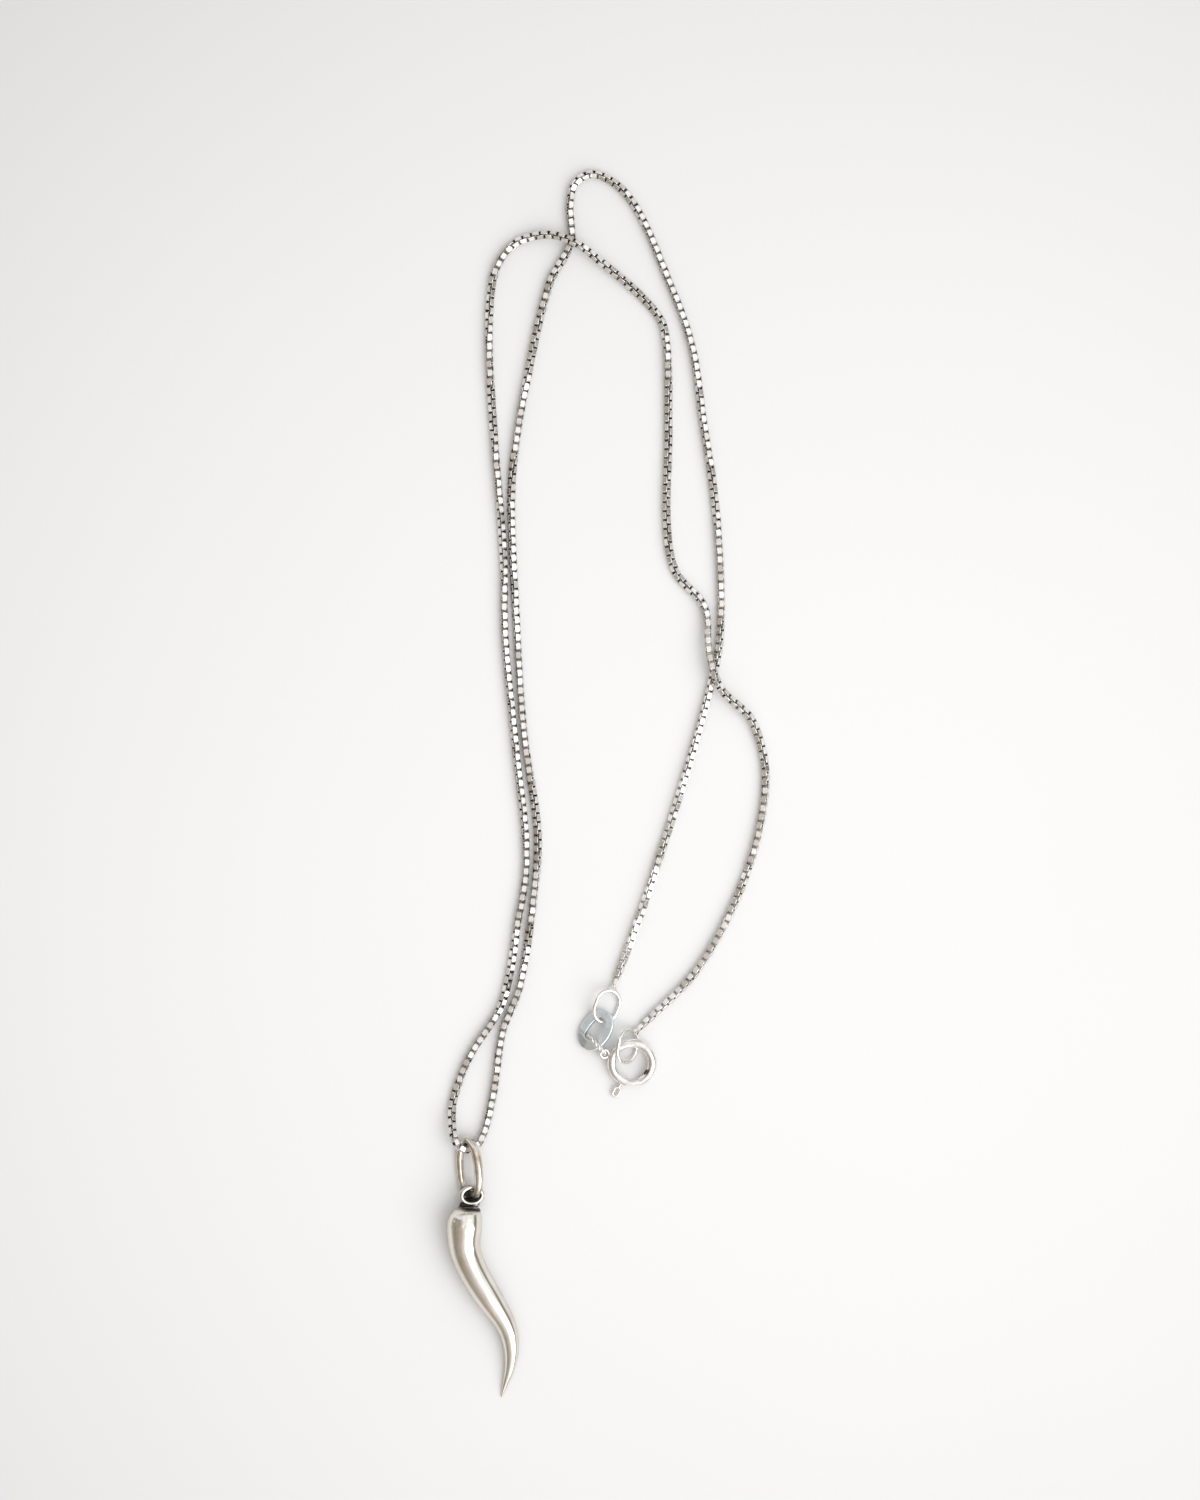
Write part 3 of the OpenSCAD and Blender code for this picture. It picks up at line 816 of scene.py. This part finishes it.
@dataclass
class Horn:
    """The S-curved horn with its collar and the oval eye soldered on top."""

    length: float = 22.6 * MM
    thickness: float = 4.2 * MM
    sway: float = 5.55 * MM
    shoulder: tuple[float, float] = (-16.9323 * MM, -49.4504 * MM)
    eye_place: tuple[float, float, float] = (-16.0823 * MM, -48.2 * MM, 1.65 * MM)
    eye_reach: tuple[float, float] = (1.25 * MM, 0.96 * MM)
    eye_wire: float = 0.3 * MM
    eye_turns: tuple[float, float] = (4.0, 20.0)
    eye_foot: float = 0.8 * MM
    eye_grime: tuple[float, float] = (0.25, 0.75)
    # Painted shade on the inner side of the eye's wire, round its shaded hole
    inner_shade: tuple[float, float, float] = (2.2, 0.6, 0.95)
    # The seam under the collar: a dark joint with painted shade in its valley
    seam_down: tuple[float, float] = (0.08 * MM, 0.36 * MM)
    seam_reach: float = 0.2 * MM
    seam_span: tuple[float, float] = (-17.6 * MM, -15.3 * MM)
    seam_grime_and_shade: tuple[float, float] = (0.8, 0.5)
    collar_grime: float = 1.2
    collar_fade: float = 0.1 * MM
    collar_drop: float = 0.7 * MM
    collar_flatness: float = 0.55
    collar_power: float = 8.0
    collar_lean: float = 0.25
    # Painted shade on the horn's sides that face down
    side_shade: float = 0.3
    side_facing: float = 0.5
    dent_slope: float = 3.0
    dent_least: float = 0.4
    ease: int = 9
    lumps: float = 0.06
    dome_steps: int = 6
    dome_rise: float = 0.3 * MM
    first_rest: int = 4
    widest: float = 0.078
    around: int = 96
    per_stretch: int = 14
    eye_steps: int = 160
    eye_around: int = 40
    lump_grid: tuple[int, int] = (17, 32)

    # Waves round the collar's top edge: how many, where they start in radians and how strong
    waves: Sequence[tuple[int, float, float]] = ((3, 0.7, 1.0), (5, 2.0, 0.6), (8, 0.0, 0.4))

    # Dents of the shoulder and the burr beside it, as seen from above and in millimetres from the
    # shoulder's middle: across, up, breadth and depth
    dents: Sequence[tuple[float, float, float, float]] = (
        (-1.1, -1.4, 0.26, 0.05), (-0.7, -1.68, 0.2, 0.05), (-0.3, -1.3, 0.22, -0.035),
        (-0.9, -2.1, 0.22, 0.045), (0.2, -1.2, 0.24, 0.04), (0.65, -1.55, 0.2, 0.035),
        (-0.25, -1.95, 0.18, -0.03), (-1.35, -2.2, 0.2, 0.03), (0.05, -2.15, 0.18, 0.03),
        (1.15, -1.55, 0.25, 0.012), (-2.08, -2.4, 0.13, -0.1),
    )

    # Lumps of solder where the eye meets the collar, in millimetres: middle, half sizes and grime; their
    # darkness is partly oxide at the joint and partly painted shade that fills the eye's gap
    solder: Sequence[tuple[float, ...]] = (
        (-15.95, -49.3, 1.32, 0.75, 0.42, 0.42, 0.75), (-16.15, -48.86, 0.88, 1.15, 0.4, 0.3, 1.3),
    )

    def eased(self, rows: Array) -> Array:
        """Evens out the rows below the shoulder.

        Each row is moved to the mean of its neighbours, weighted by exp(-(steps / ease)^2 / 2).
        The move grows from nothing at the shoulder, and dies out again at the tip.

        Args:
            rows: The horn's rows from its collar to its tip.

        Returns:
            The evened rows.
        """
        steps = np.arange(-3 * self.ease, 3 * self.ease + 1)
        weights = np.exp(-((steps / self.ease) ** 2) / 2)
        padded = np.pad(rows, ((3 * self.ease, 3 * self.ease), (0, 0)), mode="edge")
        weights = weights / weights.sum()
        even = np.stack([np.convolve(column, weights, "valid") for column in padded.T], axis=1)
        number = np.arange(len(rows))
        share = eased_share((number / self.per_stretch - self.first_rest + 1) / 3)
        share = share * np.clip((len(rows) - 1 - number) / (3 * self.per_stretch), 0, 1)
        return rows + share[:, None] * (even - rows)

    def sections(self) -> Array:
        """Works out the horn's sections.

        A section's middle lies at its radius above the surface, or at half the thickness for the
        shoulder. The collar lies lower by its share, a power of the way up from the horn's
        widest section.

        Returns:
            Rows of five columns: the middle's place, the radius and the collar's share.
        """
        down, across, size = HORN_SECTIONS.T
        top = np.clip((self.widest - down) / (self.widest - down[1]), 0, 1) ** self.collar_power
        radius = size * self.thickness / 2
        in_shoulder = np.arange(len(HORN_SECTIONS)) < self.first_rest
        height = np.where(in_shoulder, self.thickness / 2 - self.collar_drop * top, radius)
        return self.eased(smooth_rows(np.column_stack([
            self.shoulder[0] + across * self.sway, self.shoulder[1] - down * self.length,
            height, radius, top,
        ]), self.per_stretch))

    def dented(self, points: Array, outward: Array) -> Array:
        """Presses in the dents.

        Each dent moves points towards the axis by depth times exp(-d^2 / breadth^2), where d is
        the distance from the dent as seen from above.

        Args:
            points: The horn's points.
            outward: The outward direction at each point.

        Returns:
            The moved points.
        """
        press = np.zeros(points.shape[:2])
        facing = np.clip(self.dent_slope * outward[..., 2] + self.dent_least, 0, 1)
        for across, up, breadth, depth in self.dents:
            near = np.hypot(points[..., 0] - self.shoulder[0] - across * MM,
                            points[..., 1] - self.shoulder[1] - up * MM)
            press += depth * MM * bell(near, breadth * MM) * facing
        return points - press[..., None] * outward

    def grime(self, points: Array, facing: Array) -> Array:
        """Places the grime and painted shade: a dark joint with painted shade in the seam under the collar,
        grime on the collar and painted shade on the lower sides.

        Args:
            points: The horn's points.
            facing: How far each faces up, from minus one to one.

        Returns:
            The grime at each point.
        """
        up = points[..., 1] - self.shoulder[1]
        right = np.clip((points[..., 0] - self.seam_span[0]) / (self.seam_span[1] - self.seam_span[0]), 0, 1)
        down = self.seam_down[0] + (self.seam_down[1] - self.seam_down[0]) * right
        # Dark joint with painted shade in the valley under the collar
        seam = bell(up + down, self.seam_reach) * (self.seam_grime_and_shade[0] + self.seam_grime_and_shade[1] * right)
        collar = self.collar_grime * np.clip(1 + up / self.collar_fade, 0, 1)
        # Painted shade on the lower sides that face down
        sides = self.side_shade * np.clip(1 - facing / self.side_facing, 0, 1) * (up < 0)
        return np.maximum(np.maximum(seam, collar), sides)

    def body(self) -> Surface:
        """Works out the horn: round sections carried along its curved axis, with a closed tip.

        The collar's sections are flattened, and lean to the right, by the collar's share. A low
        wavy dome closes the top.

        Returns:
            The horn without its eye.
        """
        rows = self.sections()
        middle, radius, top = rows[:, :3], rows[:, 3], rows[:, 4][:, None, None]
        way = np.gradient(middle[:, :2], axis=0)
        below = eased_share((self.shoulder[1] - middle[:, 1]) / (self.widest * self.length) - 1)[:, None]
        way = unit(unit(way) * below + np.array([0.0, -1.0]) * (1 - below))
        side = np.column_stack([-way[:, 1], way[:, 0], np.zeros(len(way))])
        turn = circle(self.around)
        outward = np.cos(turn)[None, :, None] * side[:, None] + np.sin(turn)[None, :, None] * UP
        flattened = outward * UP * (1 - self.collar_flatness * top)
        reach = outward * np.array([1.0, 1.0, 0.0]) + flattened
        reach = reach - UP * self.collar_lean * top * outward[..., :1]
        points = self.dented(middle[:, None] + radius[:, None, None] * reach, outward)
        wavy = 1 + self.lumps * sum(size * np.sin(many * turn + start) for many, start, size in self.waves)
        dome = np.radians(np.linspace(90, 0, self.dome_steps, endpoint=False))[:, None, None]
        cap = middle[0] + radius[0] * np.cos(dome) * wavy[None, :, None] * reach[:1]
        cap = cap - self.dome_rise * np.sin(dome) * np.array([0.0, -1.0, 0.0])
        tip = np.broadcast_to(middle[-1] + np.array([*way[-1], 0]) * radius[-1], (1, self.around, 3))
        points = np.concatenate([cap, points, tip])
        facing = np.concatenate([0 * cap[..., 2], outward[..., 2], np.zeros((1, self.around))])
        start = np.zeros(self.dome_steps)
        along = np.concatenate([start, distances(middle), [self.length]])[:, None]
        size = np.concatenate([start, radius, [0.0]])[:, None] / (self.thickness / 2)
        return Surface.from_grid(points, values={
            "grime": self.grime(points, facing), "along": np.broadcast_to(along, points.shape[:2]),
            "round_x": size * np.cos(turn), "round_y": size * np.sin(turn),
        })

    def lump(self, sizes: Sequence[float]) -> Surface:
        """Works out one lump of solder, an ellipsoid with a wavy surface.

        Args:
            sizes: The lump's row of the solder table.

        Returns:
            The lump.
        """
        round_ball, rise, turn = ball(*self.lump_grid)
        wave = 1 + self.lumps * np.cos(rise) * (np.sin(3 * turn) + np.sin(4 * rise + 2 * turn))
        points = MM * (np.array(sizes[:3]) + round_ball * wave[..., None] * np.array(sizes[3:6]))
        return Surface.from_grid(points, values={"grime": sizes[6] + 0 * turn})

    def eye(self) -> Surface:
        """Works out the eye, an oval ring turned by its two tilts, with grime where it is soldered and
        painted shade on the wire's inner side.

        The wire's middle runs round an ellipse with half sizes a and b, whose outward direction
        at the angle t is (b cos t, a sin t).

        Returns:
            The eye.
        """
        turn = circle(self.eye_steps)[:, None]
        round_wire = circle(self.eye_around)[None]
        half = np.array(self.eye_reach)
        ray = np.concatenate([np.cos(turn), np.sin(turn)], axis=1)
        outward = unit(ray * half[::-1])[:, None]
        level = (ray * half)[:, None] + self.eye_wire * np.cos(round_wire)[..., None] * outward
        rise = np.broadcast_to(self.eye_wire * np.sin(round_wire), level.shape[:2])
        flat = np.concatenate([level, rise[..., None]], axis=-1)
        turned = turning((self.eye_turns[1], "Y"), (self.eye_turns[0], "X"))
        points = flat @ turned.T + np.array(self.eye_place)
        low = np.clip((self.shoulder[1] + self.eye_foot - points[..., 1]) / self.eye_foot, *self.eye_grime)
        # Painted shade on the wire's inner side, round the eye's shaded hole
        slope, start, most = self.inner_shade
        inner = np.clip(-np.cos(round_wire) * slope - start, 0, most) + 0 * turn
        return Surface.from_grid(points[:, ::-1], close_rows=True, values={"grime": np.maximum(low, inner)})

    def build(self, material: bpy.types.Material) -> None:
        """Makes the horn with its eye and puts it in place of its CAD node.

        Args:
            material: The horn's material.
        """
        lumps = [self.lump(sizes) for sizes in self.solder]
        piece = Surface.joined([self.body(), self.eye(), *lumps]).as_object("horn_with_eye", material)
        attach(piece, NECKLACE)
        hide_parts("horn")


@dataclass
class Bail:
    """The hand-bent oval bail, thicker on its right, that hangs from the chain and holds the horn."""

    place: tuple[float, float, float] = (-16.2537 * MM, -45.0149 * MM, 1.5075 * MM)
    lean: float = 3.0
    tilt: float = 43.5
    around: int = 40
    per_stretch: int = 16
    above: float = 0.01 * MM
    # Grime with painted shade at the foot, and how much of it the lit right side loses
    foot: float = 1.9
    foot_fade: float = 0.9
    foot_grime_and_shade: float = 1.5
    lit_right: float = 0.75
    right_from: tuple[float, float] = (0.25, 0.7)

    # The wire's middle line in the bail's own plane and its radius, in millimetres: across, up
    # and radius, from the top round by the right
    bends: Sequence[tuple[float, float, float]] = (
        (-0.1, 3.15, 0.5), (0.76, 2.34, 0.53), (1.22, 0.97, 0.53), (1.34, -0.45, 0.54),
        (1.26, -1.86, 0.49), (0.88, -2.75, 0.48), (-0.05, -3.18, 0.5), (-1.06, -2.68, 0.46),
        (-1.59, -1.63, 0.42), (-1.75, -0.09, 0.44), (-1.62, 1.55, 0.46), (-1.08, 2.71, 0.48),
    )

    def build(self, material: bpy.types.Material) -> None:
        """Makes the bail and puts it in place of its CAD node.

        Its middle line lies in a plane tilted about the bail's length, and is lifted where the
        wire would dip under the surface. Grime and painted shade darken the foot where it holds the
        horn's eye, the shade darkest on its left and fading on its lit right side.

        Args:
            material: The bail's material.
        """
        rows = MM * smooth_rows(np.array(self.bends), self.per_stretch, closed=True)
        turned = turning((self.lean, "Z"), (-self.tilt, "Y"))
        flat = np.column_stack([rows[:, 0], rows[:, 1], np.zeros(len(rows))])
        path = flat @ turned.T + np.array(self.place)
        path[:, 2] = np.maximum(path[:, 2], rows[:, 2] + self.above)
        # Painted shade at the foot, darkest on its left and fading on the lit right
        low = np.clip(-(rows[:, 1] / MM + self.foot) / self.foot_fade, 0, self.foot_grime_and_shade)
        right = np.clip(self.right_from[0] + self.right_from[1] * rows[:, 0] / MM, 0, 1)
        grime = np.broadcast_to((low * (1 - self.lit_right * right))[:, None], (len(rows), self.around))
        wire = Surface.wire(path[::-1], rows[::-1, 2], turned[:, 2], self.around, {"grime": grime[::-1]})
        piece = wire.as_object("bent_bail", material)
        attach(piece, NECKLACE)
        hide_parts("bail")


@dataclass
class Tag:
    """The flat oval tag with its uneven hole, folded a little across its lower end."""

    place: tuple[float, float, float] = (-1.53715 * MM, -28.8893 * MM, 0.908 * MM)
    lean: float = -33.0
    tilt: float = 21.1
    length: float = 5.15 * MM
    width: float = 3.75 * MM
    metal: float = 0.5 * MM
    power: float = 2.15
    round_over: float = 0.09 * MM
    fold_from: tuple[float, float] = (-1.91 * MM, -0.8 * MM)
    fold_way: tuple[float, float] = (0.963, -0.271)
    fold_slope: float = 0.12
    crease_reach: float = 0.05 * MM
    crease_end: float = -0.6 * MM
    # Painted shade along the crease and on the walls of the tag's left half
    crease_shade: float = 0.6
    wall_shade: float = 0.35
    across_steps: int = 14
    per_stretch: int = 16
    rim_steps: int = 720

    # The hole's outline in the tag's plane, in millimetres: across and up, from its lower right
    hole: Sequence[tuple[float, float]] = (
        (0.98, -0.98), (0.72, -0.2), (0.8, 0.57), (0.5, 1.42), (-0.35, 1.47), (-0.76, 0.6),
        (-0.8, -1.15), (-0.42, -1.37),
    )

    def rim(self, inner: Array) -> Array:
        """Finds the outer edge's points that lie beyond the hole's points as seen from its middle.

        Args:
            inner: The hole's outline.

        Returns:
            A point of the outer edge for each point of the hole's outline.
        """
        half_sizes = (self.width / 2, self.length / 2)
        outer = rounded_oval(circle(self.rim_steps), half_sizes, self.power)
        middle = inner.mean(axis=0)
        seen = np.arctan2(*(outer - middle).T[::-1])
        order = np.argsort(seen)
        wanted = np.arctan2(*(inner - middle).T[::-1])
        return np.column_stack([
            np.interp(wanted, seen[order], outer[order, k], period=2 * math.pi) for k in (0, 1)
        ])

    def build(self, material: bpy.types.Material) -> None:
        """Makes the tag and puts it in place of its CAD node.

        Rows run round the section of the plate from hole to rim and back below. Past the fold
        line the plate drops by the fold's slope times the distance from the line. Painted shade
        darkens the crease and the walls on the tag's left half.

        Args:
            material: The tag's material.
        """
        inner = MM * smooth_rows(np.array(self.hole), self.per_stretch, closed=True)
        outer = self.rim(inner)
        reach = np.linalg.norm(outer - inner, axis=1)
        ease, half = self.round_over, self.metal / 2
        share = np.linspace(0, 1, self.across_steps)[:, None]
        over = ease + share * (reach - 2 * ease)
        flat = np.ones((1, len(reach)))
        steps = np.vstack([0 * flat, 0 * flat, over, reach * flat, reach * flat, over[::-1]])
        lift = np.concatenate([
            [-half + ease, half - ease], np.full(len(over), half), [half - ease, -half + ease],
            np.full(len(over), -half),
        ])[:, None] * flat
        place = inner[None] + steps[..., None] * ((outer - inner) / reach[:, None])[None]
        along = np.array(self.fold_way)
        past = (place - np.array(self.fold_from)) @ np.array([along[1], -along[0]])
        lift = lift - self.fold_slope * np.maximum(past, 0)
        # Painted shade along the crease past the fold, and on the walls of the left half
        crease = bell(past, self.crease_reach) * (place[..., 0] < self.crease_end) * self.crease_shade
        wall = np.where(np.abs(lift) < half - 0.5 * ease, self.wall_shade, 0.0) * (place[..., 0] < 0)
        turned = turning((self.lean, "Z"), (-self.tilt, "Y"))
        points = np.dstack([place, lift]) @ turned.T + np.array(self.place)
        plate = Surface.from_grid(points[:, ::-1], close_rows=True,
                                  values={"grime": np.maximum(crease, wall)[:, ::-1]})
        piece = plate.as_object("plain_tag", material)
        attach(piece, NECKLACE)
        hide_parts("tag")


@dataclass
class TwistedLink:
    """The small link of two twisted wires that joins the tag to the clasp's eye."""

    middle: tuple[float, float, float] = (-1.433 * MM, -30.556 * MM, 1.05 * MM)
    turn: float = -49.97
    tilt: float = 5.0
    length: float = 2.84 * MM
    height: float = 1.7 * MM
    wire: float = 0.15 * MM
    apart: float = 0.13 * MM
    power: float = 2.4
    twists: int = 6
    steps: int = 480
    around: int = 12
    grime: float = 0.08

    def build(self, material: bpy.types.Material) -> None:
        """Makes the link and puts it in place of its CAD node.

        Each wire's middle line is a rounded loop, moved off it by a small circle that turns a
        whole number of times on the way round.

        Args:
            material: The link's material.
        """
        turn = circle(self.steps)
        oval = rounded_oval(turn, (self.length / 2, self.height / 2), self.power)
        turned = turning((self.turn, "Z"), (90 - self.tilt, "X"))
        loop = np.column_stack([oval, np.zeros(self.steps)]) @ turned.T + np.array(self.middle)
        loop = np.vstack([loop, loop[:1]])
        even = sampled(loop, np.linspace(0, 1, self.steps, endpoint=False) * distances(loop)[-1])
        way = unit(np.roll(even, -1, axis=0) - np.roll(even, 1, axis=0))
        normal = turned[:, 2]
        side = np.cross(way, normal)
        grime = np.broadcast_to(self.grime, (self.steps, self.around))
        wires = []
        for start in (0.0, math.pi):
            spin = (start + self.twists * turn)[:, None]
            off = self.apart * (np.cos(spin) * normal + np.sin(spin) * side)
            wires.append(Surface.wire(even + off, self.wire, normal, self.around, {"grime": grime}))
        piece = Surface.joined(wires).as_object("twisted_link", material)
        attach(piece, NECKLACE)
        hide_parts("tag_link")


@dataclass
class Findings:
    """The rings and the clasp, whose CAD shapes are shown with their own finishes."""

    # A black spot of painted shade, half sunk in the clasp's inner wall
    spot_place: tuple[float, float, float] = (4.3 * MM, -33.75 * MM, 1.5 * MM)
    spot_size: tuple[float, float, float] = (0.17 * MM, 0.36 * MM, 0.3 * MM)
    spot_turn: float = -32.0
    spot_shade: float = 1.5
    spot_grid: tuple[int, int] = (13, 24)
    finishes: dict[str, SilverFinish] = field(default_factory=lambda: {
        "end_ring_tag": RING_SILVER, "end_ring_clasp": RING_SILVER, "clasp_body": CLASP_SILVER,
        "clasp_bolt": BOLT_SILVER,
    })

    def dress(self, effects: Effects) -> None:
        """Gives each node the material of its finish, and the clasp its black spot of painted shade.

        Args:
            effects: The shared node groups.
        """
        made = {finish.name: finish.build(effects) for finish in self.finishes.values()}
        for node, finish in self.finishes.items():
            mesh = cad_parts[node].data
            mesh.materials.clear()
            mesh.materials.append(made[finish.name])
            log.info("%s: %s", node, finish.name)
        self.spot(made[CLASP_SILVER.name])

    def spot(self, material: bpy.types.Material) -> None:
        """Adds a black spot of painted shade at the clasp's inner wall, an ellipsoid half sunk in the tube.

        Args:
            material: The clasp's material.
        """
        round_ball, _, turn = ball(*self.spot_grid)
        turned = turning((self.spot_turn, "Z"))
        points = (round_ball * np.array(self.spot_size)) @ turned.T + np.array(self.spot_place)
        shade_spot = Surface.from_grid(points, values={"grime": self.spot_shade + 0 * turn})
        piece = shade_spot.as_object("clasp_shade_spot", material)
        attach(piece, NECKLACE)


@dataclass
class Studio:
    """The pale surface, the soft light from the right and the camera straight above."""

    view_height: float = 176.5 * MM
    view_middle: tuple[float, float] = (-1.06 * MM, 4.0 * MM)
    lens: float = 85.0
    sensor: float = 36.0
    floor_size: float = 3.0
    window_place: tuple[float, float, float] = (0.66, -0.44, 0.79)
    window_size: tuple[float, float] = (0.85, 1.1)
    window_power: float = 6.2
    window_tone: tuple[float, float, float] = (0.97, 0.985, 1.0)
    near_from: tuple[float, float] = (-0.4, -0.9)
    near_lift: float = 0.3
    far_from: tuple[float, float] = (0.28, 0.5)
    far_tone: Colour = (1.05, 1.07, 1.12, 1.0)
    far_share: float = 0.85
    edge_from: tuple[float, float] = (0.56, 0.96)
    edge_tone: Colour = (0.62, 0.58, 0.52, 1.0)

    # What the metal mirrors of the room, by the angle in degrees from straight up towards the
    # right: red, green and blue
    room: Sequence[tuple[float, float, float, float]] = (
        (-90, 0.58, 0.55, 0.5), (-80, 0.46, 0.43, 0.38), (-70, 0.34, 0.31, 0.265),
        (-58, 0.38, 0.345, 0.3), (-36, 0.5, 0.455, 0.405), (-20, 0.66, 0.615, 0.565),
        (-8, 0.83, 0.79, 0.76), (0, 1.0, 0.98, 0.96), (8, 1.2, 1.19, 1.18), (60, 1.1, 1.1, 1.09),
        (66, 0.5, 0.48, 0.45), (70, 0.24, 0.225, 0.2), (77, 0.24, 0.225, 0.2), (82, 0.55, 0.53, 0.5),
        (90, 0.62, 0.6, 0.56),
    )

    def floor(self) -> None:
        """Lays the surface, a small grid of one square sheet."""
        line = np.linspace(-self.floor_size / 2, self.floor_size / 2, 3)
        y, x = np.meshgrid(line, line, indexing="ij")
        sheet = Surface.from_grid(np.stack([x, y, np.zeros_like(x)], axis=-1), close_columns=False)
        piece = sheet.as_object("pale_surface", MattSurface().build())

    def window(self) -> None:
        """Hangs the one soft rectangular light, which faces the piece."""
        data = bpy.data.lights.new("window", "AREA")
        data.shape = "RECTANGLE"
        data.size, data.size_y = self.window_size
        data.energy = self.window_power
        data.color = self.window_tone
        lamp = bpy.data.objects.new("window", data)
        lamp.location = self.window_place
        lamp.rotation_euler = (-Vector(self.window_place)).to_track_quat("-Z", "Y").to_euler()
        bpy.context.scene.collection.objects.link(lamp)

    def surroundings(self) -> None:
        """Fills the room with the warm greys that the metal mirrors.

        The room is pale and cool beyond the chain's top, darker again at its far edge, and a
        little brighter on the horn's side.
        """
        world = bpy.data.worlds.new("room")
        world.use_nodes = True
        tree = Tree(world.node_tree)
        way = tree.add("ShaderNodeSeparateXYZ", {0: tree.add("ShaderNodeTexCoord").outputs["Generated"]})
        right, ahead, up = way.outputs
        angle = tree.math("ARCTAN2", right, up)
        share = tree.add("ShaderNodeMapRange", {0: angle, 1: -math.pi / 2, 2: math.pi / 2}).outputs[0]
        tones = tree.add("ShaderNodeValToRGB", {0: share})
        stops = tones.color_ramp.elements
        for number, (degrees, *tone) in enumerate(self.room):
            place = (degrees + 90) / 180
            stop = stops[number] if number < 2 else stops.new(place)
            stop.position = place
            stop.color = (*tone, 1.0)
        far = tree.math("MULTIPLY", tree.ramp(ahead, *self.far_from), self.far_share)
        beyond = tree.blend(tree.ramp(ahead, *self.edge_from), self.far_tone, self.edge_tone)
        near = tree.math("MULTIPLY", tree.ramp(ahead, *self.near_from), self.near_lift)
        sky = tree.add("ShaderNodeBackground", {
            "Color": tree.blend(far, tones.outputs[0], beyond), "Strength": tree.math("ADD", 1.0, near),
        })
        tree.add("ShaderNodeOutputWorld", {"Surface": sky.outputs[0]})
        bpy.context.scene.world = world
        bpy.context.scene.view_settings.view_transform = "Standard"

    def camera(self) -> None:
        """Sets the camera above the middle of the photo's frame, looking straight down."""
        data = bpy.data.cameras.new("camera")
        data.lens = self.lens
        data.sensor_width = self.sensor
        data.clip_end = 10.0
        camera = bpy.data.objects.new("camera", data)
        camera.location = (*self.view_middle, self.view_height * self.lens / self.sensor)
        bpy.context.scene.collection.objects.link(camera)
        bpy.context.scene.camera = camera

    def build(self) -> None:
        """Builds the whole studio."""
        self.camera()
        self.floor()
        self.surroundings()
        self.window()


def main() -> None:
    logging.basicConfig(level=logging.INFO, format="%(name)s: %(message)s")
    effects = Effects.build()
    Studio().build()
    BoxChain().build(LINK_SILVER.build(effects))
    Horn().build(HORN_SILVER.build(effects))
    Bail().build(BAIL_SILVER.build(effects))
    Tag().build(TAG_SILVER.build(effects))
    TwistedLink().build(RING_SILVER.build(effects))
    Findings().dress(effects)


if __name__ == "__main__":
    main()
